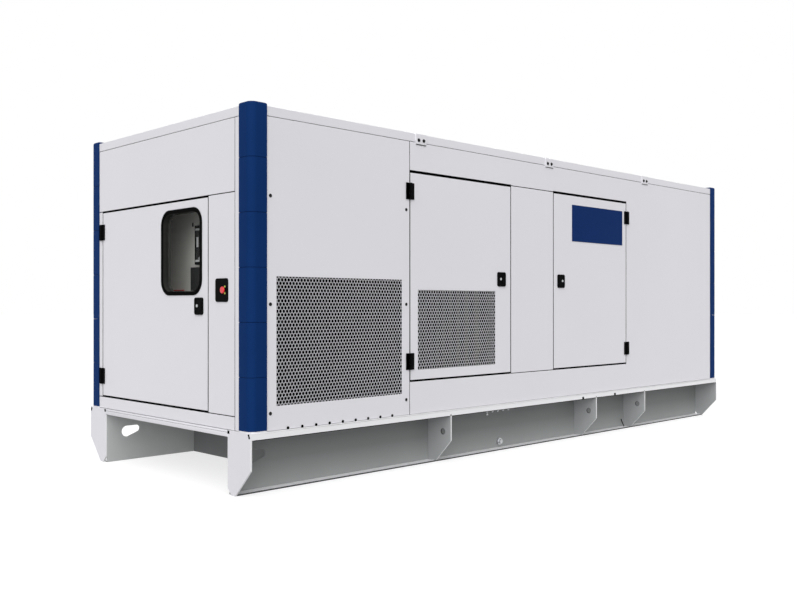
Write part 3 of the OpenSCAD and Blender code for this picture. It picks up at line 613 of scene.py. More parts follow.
posts = bmesh.new()
length = (post_high.z - post_z) / POST_LENGTHS
for i in range(POST_LENGTHS):
    last = i == POST_LENGTHS - 1
    bottom, top = post_z + i * length, post_z + (i + 1) * length
    put(posts, post_length(bottom if i else bottom + POST_BASE,
                           top if last else top - POST_GAP, last), *CORNERS)
bases = placed(post_length(post_z, post_z + POST_BASE + 0.001, True), *CORNERS)
cores = placed(block((post_x + 0.03, post_y + 0.03, post_z + 0.002),
                     (in_x - 0.002, in_y - 0.002, post_high.z - 0.03)), *CORNERS)
finish("corner_post_bases", bases, white_coat, "white_paint")
finish("corner_post_covers", posts, blue_coat, "blue_paint", "corner_posts")
finish("corner_post_cores", cores, *SHADE_AND_SEAL_BLACK)


# Roof, with the hot-air outlet at the radiator end.

roof_low, roof_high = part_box("roof_panel")
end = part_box("roof_outlet")[1].x
split, half = roof_high.x, roof_high.y
NOTCH = inlet_low.x - roof_low.x
OUTLET_BORDER, OUTLET_BARS = 0.19, 9


def roof_sheet(end, notch_x, *holes):
    """A roof panel from the split to one end, where the corner posts take its corners."""
    side = half - NOTCH
    points = [(split, -half), (notch_x, -half), (notch_x, -side), (end, -side),
              (end, side), (notch_x, side), (notch_x, half), (split, half)]
    sheet = plate(points, roof_high.z - roof_low.z, 0.003, holes=holes)
    return paint_inside(placed(sheet, at(0, 0, roof_high.z) @ FLAT), 2, -1, 0)


hole_low = (split + OUTLET_BORDER, OUTLET_BORDER - half)
hole_high = (end - NOTCH, half - OUTLET_BORDER)
finish("roof_main_panel", roof_sheet(roof_low.x, roof_low.x + NOTCH), *LINED_WHITE,
       "roof_panel")
finish("roof_outlet_panel", roof_sheet(end, end - NOTCH, corners(hole_low, hole_high)),
       *LINED_WHITE, "roof_outlet")
step = (hole_high[0] - hole_low[0]) / (OUTLET_BARS + 1)
bars = placed(block((-0.01, hole_low[1] - 0.001, roof_low.z + 0.005),
                    (0.01, hole_high[1] + 0.001, roof_high.z - 0.005), 0.003),
              *[at(hole_low[0] + step * (i + 1)) for i in range(OUTLET_BARS)])
finish("roof_outlet_bars", bars, white_coat, "white_paint")

bracket_low, bracket_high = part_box("roof_brackets")
BRACKETS = [END + s for s in (1.338, 2.734, 4.113)]
BRACKET_W, BRACKET_T = 0.1, 0.006
out_y, bolt_z = wall_y - BRACKET_T, (bracket_low.z + bracket_high.z) / 2 - 0.007
clips, clip_bolts = bmesh.new(), bmesh.new()
pair(clips, block((-BRACKET_W / 2, out_y, bracket_low.z),
                  (BRACKET_W / 2, wall_y + 0.001, bracket_high.z), 0.0025), *map(at, BRACKETS))
pair(clip_bolts, block((0.004 - BRACKET_W / 2, out_y + 0.001, bracket_low.z - 0.003),
                       (BRACKET_W / 2 - 0.002, wall_y + 0.001, bracket_low.z + 0.0015),
                       0.0005, 1), *map(at, BRACKETS))
pair(clip_bolts, hex_bolt(0.017, 0.0075),
     *[at(x + dx, out_y, bolt_z) @ OUT_FRONT for x in BRACKETS for dx in (-0.023, 0.023)])
finish("roof_lifting_clips", clips, white_coat, "white_paint", "roof_brackets")
finish("roof_clip_bolts", clip_bolts, bolt_black, "black_plastic")


# ---- The two ends ----

def end_wall(low, high, hole=None, corner=0.0, seam=SEAM, inside=1):
    """A wall shape across an end. inside is 1 where the set lies toward +x, else -1."""
    return paint_inside(placed(wall_panel(low.yxz, high.yxz, hole, corner, seam), END_ON),
                        0, inside)


for node in ("control_end_header", "control_end_sill", "control_end_side_panel"):
    finish(node + "_wall", end_wall(*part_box(node)), *ALL_WHITE, node)

end_low, end_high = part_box("control_end_header")
control_low, control_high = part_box("control_door")
jamb_low, jamb_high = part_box("control_end_jambs")
jambs = bmesh.new()
for y0, y1, z0, z1 in ((jamb_low.y, end_low.y, skid_top, wall_top),
                       (control_high.y + 0.006, jamb_high.y,
                        control_low.z - 0.01, control_high.z + 0.01)):
    put(jambs, end_wall(Vector((end_low.x, y0, z0)), Vector((end_high.x, y1, z1))))
finish("control_end_jamb_walls", jambs, *ALL_WHITE, "control_end_jambs")

GASKET, GASKET_LAP, WINDOW_R, SLEEVE_STEP = 0.024, 0.012, 0.095, 0.034
gasket_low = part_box("window_gasket")[0]
finish("control_door_panel",
       end_wall(control_low, control_high, flat_box("window_gasket", "yz", GASKET_LAP),
                WINDOW_R - GASKET_LAP, DOOR_SEAM),
       *ALL_WHITE, "control_door", body=CONTROL_LEAF)


def window_ring(lap, x0, x1, rim):
    """A ring round the window from x0 to x1, its outside moved in by lap."""
    bm = pane(*flat_box("window_gasket", "yz", lap), WINDOW_R - lap, 12)
    faces = bm.faces[:]
    bmesh.ops.inset_region(bm, faces=faces, thickness=GASKET - lap, use_even_offset=True,
                           use_boundary=True)
    bmesh.ops.delete(bm, geom=faces, context="FACES_ONLY")
    slide(bm, x0)
    return placed(thicken(bm, x1 - x0, rim, 3), END_ON)


rubber = bmesh.new()
sleeve_x = control_low.x + SLEEVE_STEP
for tone, x0, x1 in ((2, sleeve_x, control_high.x), (1, control_low.x - 0.002, sleeve_x)):
    put(rubber, window_ring(GASKET_LAP, x0, x1, 0.0))
    for face in rubber.faces:
        face.material_index = face.material_index or tone
put(rubber, window_ring(0.0, gasket_low.x, control_low.x, 0.0022))
finish("window_rubber", rubber, (black_rubber, sleeve_grey, sleeve_pale), "black_rubber",
       "window_gasket", body=CONTROL_LEAF)

low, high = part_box("window_glass")
reach = gasket_low.y + GASKET - low.y
window = board(*flat_box("window_glass", "yz", reach), low.x, high.x, WINDOW_R - GASKET, 12)
finish("window_pane", placed(window, END_ON), window_tint, "window_glass", "window_glass",
       body=CONTROL_LEAF)

for node in ("radiator_end_header", "radiator_end_panel", "radiator_end_sill"):
    finish(node + "_wall", end_wall(*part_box(node), inside=-1), *LINED_WHITE, node)

stop_low, stop_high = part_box("stop_plate")
stop_plate = board(*flat_box("stop_plate", "yz"), stop_low.x, stop_high.x, 0.016, 6, 0.002)
finish("stop_back_plate", placed(stop_plate, END_ON), *MOULDED, "stop_plate")
button_low, button_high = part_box("stop_button")
middle = (button_low + button_high) / 2
radius = (button_high.y - button_low.y) / 2
button = placed(drum(radius * 0.6, 0.005, 32))
put(button, drum(radius, button_high.x - button_low.x - 0.004, 40, 0.004, 4), at(z=0.004))
finish("stop_mushroom", placed(button, at(button_high.x, middle.y, middle.z) @ OUT_END),
       red_moulding, "red_plastic", "stop_button")
lugs = placed(drum(0.0055, 0.004, 20, 0.001),
              *[at(stop_low.x + 0.001, middle.y - 0.0145, middle.z + dz) @ OUT_END
                for dz in (-0.019, 0.019)])
finish("stop_guard_lugs", lugs, lug_yellow, None)


# ---- Hinges and locks ----

PIN_OUT, KNUCKLE_R, LEAF_T, HINGE_H, HINGE_W = 0.01, 0.009, 0.008, 0.107, 0.072
THIRD, HINGE_GAP = HINGE_H / 6, 0.0006
# The spans of height of each half, and its hand.
MOVING = ((HINGE_GAP - THIRD, THIRD - HINGE_GAP),), HERE
FIXED = ((-HINGE_H / 2, -THIRD), (THIRD, HINGE_H / 2)), TO_RADIATOR_END


def hinge(spans, hand):
    """Half a hinge: for each span of height a cover plate, an arm and a length of knuckle."""
    inner, arm_y = KNUCKLE_R + 0.001, PIN_OUT - LEAF_T / 2
    bm = bmesh.new()
    for z0, z1 in spans:
        put(bm, block((inner, PIN_OUT - LEAF_T, -HINGE_H / 2), (HINGE_W / 2, PIN_OUT, HINGE_H / 2),
                      0.0028, 3), hand)
        put(bm, block((0.006, arm_y - 0.006, z0), (inner + 0.001, arm_y + 0.003, z1), 0.001), hand)
        put(bm, drum(KNUCKLE_R, z1 - z0, 32, 0.0012), at(z=z0))
    return bm


LOCK_W, LOCK_H, LOCK_T, LOCK_R, LOCK_IN = 0.092, 0.102, 0.008, 0.014, 0.006


def lock(key_side):
    """A door lock that faces -y: a dished cover with a finger paddle, and a key barrel."""
    cover = thicken(pane((0, 0), (LOCK_W, LOCK_H), LOCK_R, 8), -LOCK_T, 0.0022, 3)
    outer = [f for f in cover.faces
             if f.normal.y < -0.99 and f.calc_area() > LOCK_W * LOCK_H * 0.5]
    bmesh.ops.inset_region(cover, faces=outer, thickness=0.007, use_even_offset=True)
    bmesh.ops.inset_region(cover, faces=outer, thickness=0.002, depth=-0.0035,
                           use_even_offset=True)
    x = LOCK_W / 2 - key_side * 0.018
    put(cover, block((x - 0.014, -LOCK_T, 0.024), (x + 0.014, 0.004 - LOCK_T, LOCK_H - 0.024),
                     0.0018, 3))
    x, z = LOCK_W / 2 + key_side * 0.013, LOCK_H / 2 + 0.002
    key = placed(drum(0.009, 0.0105, 32, 0.001), at(x, 0, z) @ OUT_FRONT)
    put(key, block((x - 0.001, -0.011, z - 0.005), (x + 0.001, -0.0104, z + 0.005)))
    return cover, key


pins = {joint["name"]: Vector(joint["pos_m"]) for joint in frame["joints"]}
air_low, air_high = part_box("air_door")
service_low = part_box("service_door")[0]
lock_z = air_low.z + 0.668 - LOCK_H / 2
DOORS = (
    ("air_door", HERE, at(air_high.x + LOCK_IN - 0.066 - LOCK_W, wall_y, lock_z), -1, AIR_LEAF),
    ("service_door", TO_RADIATOR_END, at(service_low.x - LOCK_IN + 0.05, wall_y, lock_z), 1,
     SERVICE_LEAF),
    ("control_door", turn(-90, "Z"),
     at(control_low.x, control_low.y - LOCK_IN + 0.05 + LOCK_W, gasket_low.z - 0.014 - LOCK_H)
     @ turn(-90, "Z"), -1, CONTROL_LEAF))
fixed, back_fittings, back_keys = bmesh.new(), bmesh.new(), bmesh.new()
for door, spin, lock_place, key_side, body in DOORS:
    pin, (low, high) = pins[door + "_hinge"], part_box(door + "_fittings")
    places = [at(pin.x, pin.y, z) @ spin for z in (low.z + HINGE_H / 2, high.z - HINGE_H / 2)]
    black, key = placed(hinge(*MOVING), *places), bmesh.new()
    for piece, shape in zip((black, key), lock(key_side)):
        put(piece, shape, lock_place)
    finish(door + "_hinges_and_lock", black, *MOULDED, door + "_fittings", body=body)
    finish(door + "_key_barrel", key, *BRIGHT, body=body)
    put(fixed, hinge(*FIXED), *places)
    if body != CONTROL_LEAF:
        for half in (MOVING, FIXED):
            put(back_fittings, hinge(*half), *[TO_BACK @ place for place in places])
        for piece, shape in zip((back_fittings, back_keys), lock(key_side)):
            put(piece, shape, TO_BACK @ lock_place)
finish("hinge_fixed_halves", fixed, *MOULDED, "hinge_leaves_fixed")
finish("back_hinges_and_locks", back_fittings, *MOULDED, "door_fittings_back")
finish("back_key_barrels", back_keys, *BRIGHT)


# ---- Sign and fixings ----

sign_low, sign_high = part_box("sign_plate")
sign = board((sign_low.x - 0.013, sign_low.z + 0.0015), (sign_high.x, sign_high.z + 0.0035),
             sign_high.y, sign_low.y, 0.003, 3, 0.0006)
finish("blue_sign", sign, sign_enamel, "blue_paint", "sign_plate", body=SERVICE_LEAF)

BOLTS = [(s, z) for s in (0.133, 1.205) for z in (1.685, 1.077, 0.465)]
PLUGS = [(0.255 + 0.103 * i, 0.374) for i in range(9)]
for name, shape, spots, coating, slot in (
        ("bolts", hex_bolt(0.015, 0.005, 0.001), BOLTS, bolt_black, "black_plastic"),
        ("plugs", drum(0.009, 0.003, 16, 0.0006, 1), PLUGS, black_rubber, "black_rubber")):
    piece = bmesh.new()
    pair(piece, shape, *[at(END + s, wall_y, z) @ OUT_FRONT for s, z in spots])
    finish("inlet_wall_" + name, piece, coating, slot)


# ---- Skid ----

rail_low, rail_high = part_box("skid_rail_front")
rail_y, web_y = rail_low.y, rail_high.y
PLATE, LIP, LIP_T, FOOT, SLOPE_Z, END_T = 0.01, 0.038, 0.008, 0.074, 0.158, 0.012
GUSSETS = [END + s for s in (1.625, 3.364, 4.107)]
GROMMETS = [END + s for s in (3.175, 3.634)]
EYE_MIDDLE, EYE_R = (rail_y + 0.072, 0.215), 0.02
lip_z, under_top = skid_top - LIP, skid_top - PLATE


def slot_line():
    """The rail's slot: round at both ends, level on top, narrow away from the end."""
    wide, narrow, length = 0.0375, 0.024, 0.135
    x, z = END + 0.179, 0.198
    x1, x2, z2 = x - length / 2 + wide, x + length / 2 - narrow, z + wide - narrow
    fall = 2 * math.degrees(math.atan2(z2 - z, x2 - x1))
    return arc(x1, z, wide, 90, 270 + fall, 16) + arc(x2, z2, narrow, 270 + fall - 360, 90, 14)


def folded_rail():
    """A rail of the skid: web with its slot, top plate, folded lip and foot."""
    low_x, high_x = rail_low.x, rail_high.x
    web = plate(corners((low_x, 0), (high_x, skid_top)), PLATE, 0.002, holes=[slot_line()])
    bm = placed(web, at(0, web_y - PLATE, 0))
    put(bm, block((low_x, web_y - FOOT, 0), (high_x, web_y - 0.001, PLATE), 0.002, 2))
    # Painted shade by face: the foot's outer edge takes the edge shade, the web's inner face the
    # inner shade, and the other faces of web and foot the channel shade; the foot's top, the top
    # plate and the lip keep the skid's white.
    for face in bm.faces:
        outer, low = face.normal.y < -0.9, face.calc_center_median().z < PLATE + 0.001
        face.material_index = (2 if outer and low else 0 if low and face.normal.z > 0.5
                               else 3 if face.normal.y > 0.9 else 1)
    put(bm, block((low_x, rail_y, under_top), (high_x, web_y - 0.001, skid_top), 0.003, 3))
    lip_line = [(low_x, lip_z)]
    for x in sorted(GUSSETS + GROMMETS):
        lip_line += [(x + dx, lip_z + dz) for dx, dz in
                     ((-0.009, 0), (-0.006, 0.009), (0.006, 0.009), (0.009, 0))]
    lip_line += [(high_x, lip_z), (high_x, skid_top - 0.001), (low_x, skid_top - 0.001)]
    put(bm, plate(lip_line, LIP_T, 0.0015), at(0, rail_y, 0))
    return bm


both_sides("skid_rail", folded_rail, (skid_coat, channel_shade_paint, edge_shade_paint, inner_shade_paint),
           "skid_paint", "skid_rail")
WEB_BOLTS = ((2.249, 0.266), (2.249, 0.284), *((2.31 + 0.062 * i, 0.283) for i in range(4)))
lip_in = rail_y + LIP_T
lip_shadow_strips, grommets, web_bolts = bmesh.new(), bmesh.new(), bmesh.new()
# Painted shadow: a dark strip just behind the lip's lower edge stands for the shadow line under the
# lip.
pair(lip_shadow_strips, block((rail_low.x + 0.02, lip_in - 0.001, lip_z - 0.005),
                      (rail_high.x - 0.02, lip_in + 0.002, lip_z + 0.012), 0.0008, 1))
pair(grommets, block((-0.0125, rail_y - 0.0008, lip_z - 0.001),
                     (0.0125, lip_in + 0.001, lip_z + 0.018), 0.001), *map(at, GROMMETS))
pair(grommets, pipe([(END + 4.052, web_y - 0.02, 0.075), (END + 4.056, web_y - 0.028, 0.05),
                     (END + 4.05, web_y - 0.05, 0.014)], 0.004, 8))
pair(web_bolts, hex_bolt(0.012, 0.007, 0.0006),
     *[at(END + s, web_y - PLATE, z) @ OUT_FRONT for s, z in WEB_BOLTS])
finish("lip_grommets", grommets, *SHADE_AND_SEAL_BLACK)
finish("lip_edge_seals", lip_shadow_strips, *SHADE_AND_SEAL_BLACK)
finish("web_bolts", web_bolts, *BRIGHT)


def cross_plate(points, thick, holes=()):
    """A plate across the rail from its outline in y and z, centred on x = 0."""
    return placed(plate(points, thick, 0.0015, holes=holes), at(-thick / 2, 0, 0) @ END_ON)


slope_in = web_y - rail_y - FOOT
end_points = [(rail_y, skid_top), (rail_y, SLOPE_Z), (rail_y + slope_in, 0), (web_y - 0.036, 0),
              (web_y, 0.04), (web_y, skid_top)]
ends_low, ends_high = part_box("skid_end_plates")
end_plates, corner_slot_shades = bmesh.new(), bmesh.new()
for x, inward in ((ends_low.x + END_T / 2, 1), (ends_high.x - END_T / 2, -1)):
    end_plate = cross_plate(end_points, END_T - 0.0006)
    # Painted shade: each plate's inward face takes the gusset shade; its outer face is white and
    # its edges the skid's white.
    for face in end_plate.faces:
        way = face.normal.x * inward
        face.material_index = 1 if way > 0.9 else 2 if abs(way) < 0.1 else 0
    pair(end_plates, end_plate, at(x))
    x -= inward * (END_T / 2 - 0.001)
    # Painted shade: two small black marks at the top corners of each plate stand for the dark
    # insides of its corner slots.
    for half_y, half_z, y, z, lean in (
            (0.0075, 0.0135, rail_y + 0.0145, skid_top - 0.0165, -24),
            (0.0105, 0.0095, web_y - 0.008, skid_top - 0.0105, 0)):
        pair(corner_slot_shades, block((-0.001, -half_y, -half_z), (0.001, half_y, half_z), 0.0008),
             at(x, y, z) @ turn(lean, "X"))
finish("skid_end_plate_pair", end_plates, (white_coat, gusset_shade_paint, skid_coat), "skid_paint",
       "skid_end_plates")
finish("skid_corner_slots", corner_slot_shades, *SHADE_AND_SEAL_BLACK)

gusset = cross_plate(
    [(lip_in, under_top), (lip_in, lip_z), (rail_y, lip_z), (rail_y, SLOPE_Z),
     (rail_y + slope_in * (1 - PLATE / SLOPE_Z), PLATE), (web_y - PLATE, PLATE),
     (web_y - PLATE, under_top)], PLATE, [arc(*EYE_MIDDLE, EYE_R, 0, 348, 29)])
# Painted shade: the gusset's two faces take the gusset shade and the eye's wall the edge shade; the
# other edges keep the skid's white.
for face in gusset.faces:
    from_eye = (face.calc_center_median().yz - Vector(EYE_MIDDLE)).length
    face.material_index = (2 if from_eye < EYE_R + 0.001 else
                           0 if abs(face.normal.x) > 0.9 else 1)
gussets = bmesh.new()
pair(gussets, gusset, *map(at, GUSSETS))
finish("skid_gusset_plates", gussets, (gusset_shade_paint, skid_coat, edge_shade_paint), "skid_paint",
       "skid_gussets")

member_low, member_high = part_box("skid_end_members")
y0, y1 = member_low.y, member_high.y
ends = placed(block((member_low.x + 0.0004, y0, lip_z), (member_low.x + LIP_T, y1, skid_top),
                    0.002, 3), *BOTH_ENDS)
put(ends, block((member_low.x + 0.002, y0, under_top), (end_high.x, y1, skid_top - 0.0005),
                0.002), *BOTH_ENDS)
finish("skid_end_angle", ends, white_coat, "skid_paint", "skid_end_members")
# Painted shadow: a thin dark strip on each end angle's face stands for the shadow line where the
# top plate meets the folded lip.
end_joint_shadow_lines = placed(block((member_low.x + 0.0001, y0 + 0.002, skid_top - 0.0125),
                          (member_low.x + 0.001, y1 - 0.002, skid_top - 0.0112)), *BOTH_ENDS)
finish("skid_end_angle_joints", end_joint_shadow_lines, edge_shade_paint, "skid_paint")


# ---- Inside: rubber seals behind the doors ----

def seal(low, high, lap=0.012, reach=0.014):
    """The frame that a closed door rests against, from the doorway's two corners."""
    outer, inner = (corners([c - out for c in low], [c + out for c in high])
                    for out in (reach, -lap))
    return plate(outer, 0.006, 0.001, 1, holes=[inner])


seals = placed(seal(*flat_box("control_door", "yz")), at(control_high.x + 0.001) @ END_ON)
for node in ("air_door", "service_door"):
    pair(seals, seal(*flat_box(node)), at(y=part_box(node)[1].y + 0.001))
finish("door_seals", seals, black_rubber, "black_rubber")


# ---- Inside: the engine ----

set_low, set_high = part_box("engine")
bed_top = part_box("engine_bed")[1].z
SHAFT, FAN_Z = skid_top + 0.62, skid_top + 0.74
FLY_L, FAN_L, FOOT_T = 0.16, 0.22, 0.024
HEAD_LEAN, HEAD_W, HEAD_H, HEAD_OUT, BAY_COUNT = 30, 0.25, 0.23, 0.186, 6
x0, x1, foot_top, pan_top = set_low.x, set_high.x - FAN_L, bed_top + FOOT_T, SHAFT - 0.139
head_z = set_high.z - HEAD_W / 4 - HEAD_H * math.cos(math.radians(HEAD_LEAN))
BAY = (x1 - x0 - 0.3) / BAY_COUNT
MID_BAY = BAY / 2
BAYS = [x0 + 0.2 + BAY * i for i in range(BAY_COUNT)]
bays = [at(x, 0, SHAFT) for x in BAYS]
heads = [at(x, -HEAD_OUT, head_z) @ turn(HEAD_LEAN, "X") for x in BAYS]
shaft_end, fan_hub = at(x1 - 0.002, 0, SHAFT), at(x1 - 0.002, 0, FAN_Z)
iron, dark, bright = bmesh.new(), bmesh.new(), bmesh.new()

# Crankcase, sump, feet and flywheel.
put(iron, lying(0.34, FLY_L, 64, 0.012, 3), at(x0, 0, SHAFT))
put(iron, block((x0 + FLY_L - 0.002, -0.31, SHAFT - 0.14), (x1, 0.31, SHAFT + 0.42), 0.02, 3))
put(iron, block((x0 + 0.25, -0.186, foot_top), (x1 - 0.1, 0.186, SHAFT - 0.135), 0.03, 3))
put(iron, block((x0 + 0.23, -0.21, SHAFT - 0.158), (x1 - 0.08, 0.21, SHAFT - 0.138), 0.004))
for x in (x0 + 0.32, x1 - 0.26):
    put(iron, block((x - 0.06, -0.425, bed_top), (x + 0.06, 0.425, foot_top), 0.003))
    put(iron, block((x - 0.05, -0.38, foot_top - 0.001), (x + 0.05, 0.38, pan_top), 0.006))
    put(bright, hex_bolt(0.03, 0.016, 0.003), *[at(x, y, foot_top) for y in (-0.403, 0.403)])
put(bright, hex_bolt(0.02, 0.012),
    *[at(x0, 0, SHAFT) @ turn(30 * i, "X") @ at(z=0.3) @ OUT_END for i in range(12)])

# In each bay of each side: a head with its cover, a piece of manifold, a cover and pipes.
pair(iron, block((0.004, -HEAD_W / 2, 0), (BAY - 0.004, HEAD_W / 2, 0.15), 0.006), *heads)
pair(iron, block((0.018, 0.012 - HEAD_W / 2, 0.149), (BAY - 0.018, HEAD_W / 2 - 0.012, HEAD_H),
                 0.018, 3), *heads)
pair(iron, block((BAY - 0.012, -0.322, -0.11), (BAY + 0.012, -0.3, 0.36), 0.004), *bays)
pair(iron, block((0.045, -0.318, -0.06), (BAY - 0.045, -0.3, 0.16), 0.008, 3), *bays)
for x in (MID_BAY - 0.07, MID_BAY + 0.07):
    pair(bright, hex_bolt(0.018, 0.012), *[head @ at(x, 0, HEAD_H - 0.012) for head in heads])
    pair(bright, hex_bolt(0.016, 0.009),
         *[bay @ at(x, -0.318, z) @ OUT_FRONT for bay in bays for z in (-0.04, 0.14)])
for x, radius, length, rim in ((0.015, 0.043, BAY - 0.03, 0.006), (-0.015, 0.052, 0.03, 0.003)):
    pair(dark, lying(radius, length, 28, rim),
         *[head @ at(x, -HEAD_W / 2 - 0.055, 0.075) for head in heads])
pair(dark, block((MID_BAY - 0.045, -HEAD_W / 2 - 0.05, 0.04),
                 (MID_BAY + 0.045, -HEAD_W / 2 - 0.002, 0.11), 0.006), *heads)
pair(bright, pipe([(MID_BAY, -0.335, 0.2), (MID_BAY + 0.03, -0.345, 0.3), (MID_BAY, -0.31, 0.42)],
                  0.006, 8), *bays)

# On each side: fuel rail, starter, filters and a turbocharger with its hoses.
fuel_z, turbo_z, turbo_y = SHAFT + 0.2, SHAFT + 0.5, -0.2
pair(bright, pipe([(BAYS[0] + 0.05, -0.335, fuel_z), (BAYS[3], -0.337, fuel_z),
                   (BAYS[5] + 0.2, -0.335, fuel_z)], 0.009, 8))
pair(dark, lying(0.06, 0.28, 32, 0.008), at(x0 + FLY_L, -0.375, SHAFT - 0.06))
pair(dark, lying(0.035, 0.2, 24, 0.005), at(x0 + FLY_L, -0.365, SHAFT + 0.03))
for i in range(3):
    pair(dark, drum(0.055, 0.2, 32, 0.012, 3), at(BAYS[4] + 0.13 * i, -0.375, SHAFT - 0.34))
    pair(bright, drum(0.05, 0.012, 32, 0.002), at(BAYS[4] + 0.13 * i, -0.375, SHAFT - 0.14))
pair(iron, block((BAYS[4] - 0.06, -0.44, SHAFT - 0.13), (BAYS[4] + 0.32, -0.29, SHAFT - 0.07),
                 0.01, 3))
pair(dark, lying(0.085, 0.07, 40, 0.02, 4), at(x0 + 0.02, turbo_y, turbo_z))
pair(iron, lying(0.1, 0.075, 40, 0.024, 4), at(x0 + 0.14, turbo_y, turbo_z))
pair(bright, lying(0.045, 0.06, 28, 0.004), at(x0 + 0.085, turbo_y, turbo_z))
pair(dark, pipe([(x0 + 0.2, turbo_y, turbo_z), (x0 + 0.32, -0.17, SHAFT + 0.55),
                 (x0 + 0.45, -0.05, SHAFT + 0.59), (x0 + 0.53, -0.04, SHAFT + 0.59)], 0.05, 16))
pair(dark, pipe([(x0 + 0.055, -0.28, SHAFT + 0.49), (x0 + 0.07, -0.33, SHAFT + 0.45),
                 (BAYS[0] + 0.02, -0.352, SHAFT + 0.4)], 0.036, 16))

# Pulleys, dynamo and fan.
put(bright, lying(0.12, 0.05, 40, 0.006), shaft_end)
put(dark, lying(0.075, 0.05, 40, 0.006), fan_hub @ at(z=0.12), shaft_end @ at(0, -0.22, 0.16))
put(dark, lying(0.07, 0.16, 40, 0.01), at(x1 - 0.17, -0.375, SHAFT + 0.16))
put(iron, lying(0.06, 0.17, 32, 0.004), fan_hub)
put(iron, lying(0.13, 0.05, 40, 0.01), at(set_high.x - 0.055, 0, FAN_Z))
put(dark, block((-0.003, -0.075, 0.1), (0.003, 0.075, 0.519), 0.002, 1),
    *[at(set_high.x - 0.03, 0, FAN_Z) @ turn(45 * i, "X") @ turn(66, "Z") for i in range(8)])
finish("engine_castings", iron, engine_enamel, "engine_iron", "engine")
finish("engine_dark_parts", dark, frame_coat, "engine_iron")
finish("engine_bright_parts", bright, *BRIGHT)

# Straps and joints of the air cleaners.
low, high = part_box("air_cleaners")
middle = (low + high) / 2
straps = bmesh.new()
for radius, length, sides, rim, *starts in (
        (0.152, 0.022, 48, 0.001, low.x + 0.1, low.x + 0.44, high.x - 0.46, high.x - 0.12),
        (0.085, 0.08, 36, 0.004, middle.x - 0.04),
        (0.13, 0.02, 48, 0.006, low.x - 0.018, high.x - 0.002)):
    put(straps, lying(radius, length, sides, rim), *[at(x, 0, middle.z) for x in starts])
finish("air_cleaner_straps", straps, frame_coat, "black_plastic")

# Alternator: cooling ribs, end louvres and the lid of its connection box.
low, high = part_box("alternator")
around = [at(z=SHAFT) @ turn(10 * i, "X") for i in range(36)]
ribs = placed(block((low.x + 0.2, -0.004, 0.368), (high.x - 0.1, 0.004, 0.382), 0.0015, 1),
              *around)
louvres = placed(block((low.x + 0.03, -0.009, 0.312), (low.x + 0.1, 0.009, 0.3165), 0.002, 1),
                 *around)
put(ribs, lying(0.378, 0.03, 64, 0.004),
    *[at(x, 0, SHAFT) for x in (low.x + 0.121, high.x - 0.032)])
lid = at((low.x + high.x) / 2, 0, high.z)
put(ribs, block((-0.255, -0.245, -0.002), (0.255, 0.245, 0.008), 0.003), lid)
pair(ribs, block((-0.2, -0.266, -0.2), (0.2, -0.258, -0.04), 0.003), lid)
nuts = placed(hex_bolt(0.018, 0.008),
              *[lid @ at(x, y, 0.008) for x in (-0.23, 0, 0.23) for y in (-0.22, 0.22)])
pair(nuts, hex_bolt(0.014, 0.006),
     *[lid @ at(x, -0.266, z) @ OUT_FRONT for x in (-0.18, 0.18) for z in (-0.18, -0.06)])
finish("alternator_ribs", ribs, machine_blue, "blue_paint")
finish("alternator_louvres", louvres, *SHADE_AND_SEAL_BLACK)
finish("alternator_bolts", nuts, *BRIGHT)

# Cooler: fins in the round opening, its frame, and the wire guard round the fan.
low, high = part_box("radiator")
fan = at(low.x, 0, FAN_Z)
FIN_STEP, FIN_T, OPENING, GUARD_BARS = 0.02, 0.002, 0.535, 8
fins, bars, guard = bmesh.new(), bmesh.new(), bmesh.new()


def ring(inner, outer, thick, rim, steps, count):
    """A flat ring round the fan."""
    last = 360 - 360 / count
    return placed(plate(arc(0, 0, outer, 0, last, count - 1), thick, rim, steps,
                        [arc(0, 0, inner, 0, last, count - 1)]), END_ON)


for i in range(-26, 27):
    z, reach = FIN_STEP * i, math.sqrt(OPENING ** 2 - (FIN_STEP * i) ** 2)
    put(fins, block((0.045, -reach, z - FIN_T / 2), (0.0585, reach, z + FIN_T / 2)), fan)
put(bars, ring(0.541, 0.575, 0.03, 0.003, 2, 60), fan @ at(-0.03))
for z in (skid_top + 0.002, high.z - 0.1):
    put(bars, block((low.x - 0.02, -0.89, z), (low.x, 0.89, z + 0.095), 0.006))
pair(bars, block((low.x - 0.0195, -0.89, skid_top + 0.1), (low.x, -0.8, high.z - 0.103), 0.006))
for radius in (0.14, 0.22, 0.3, 0.38, 0.46, 0.54):
    put(guard, ring(radius - 0.003, radius + 0.003, 0.005, 0.001, 1, 48), fan @ at(-0.038))
put(guard, block((-0.04, -0.003, 0.13), (-0.034, 0.003, 0.56), 0.001, 1),
    *[fan @ turn(360 / GUARD_BARS * i, "X") for i in range(GUARD_BARS)])
finish("cooler_fins", fins, cleaner_coat, "grey_paint")
finish("cooler_frame", bars, frame_coat, "grey_paint")
finish("fan_guard", guard, *BRIGHT)


# ---- Inside: the control cabinet ----

cab_low, cab_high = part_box("control_cabinet")
face_x, show_x, cover_x = cab_low.x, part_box("display_panel")[0].x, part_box("breaker_cover")[0].x
LEAF_HALF, LEAF_LOW, LEAF_TOP, LINE = 0.53, 0.615, 1.722, 0.003


def on_face(piece, x, y0, z0, y1, z1, proud, rim=0.001):
    """A raised plate on the cabinet's face, between two corners in y and z."""
    put(piece, block((x - proud, y0, z0), (x + 0.001, y1, z1), rim))


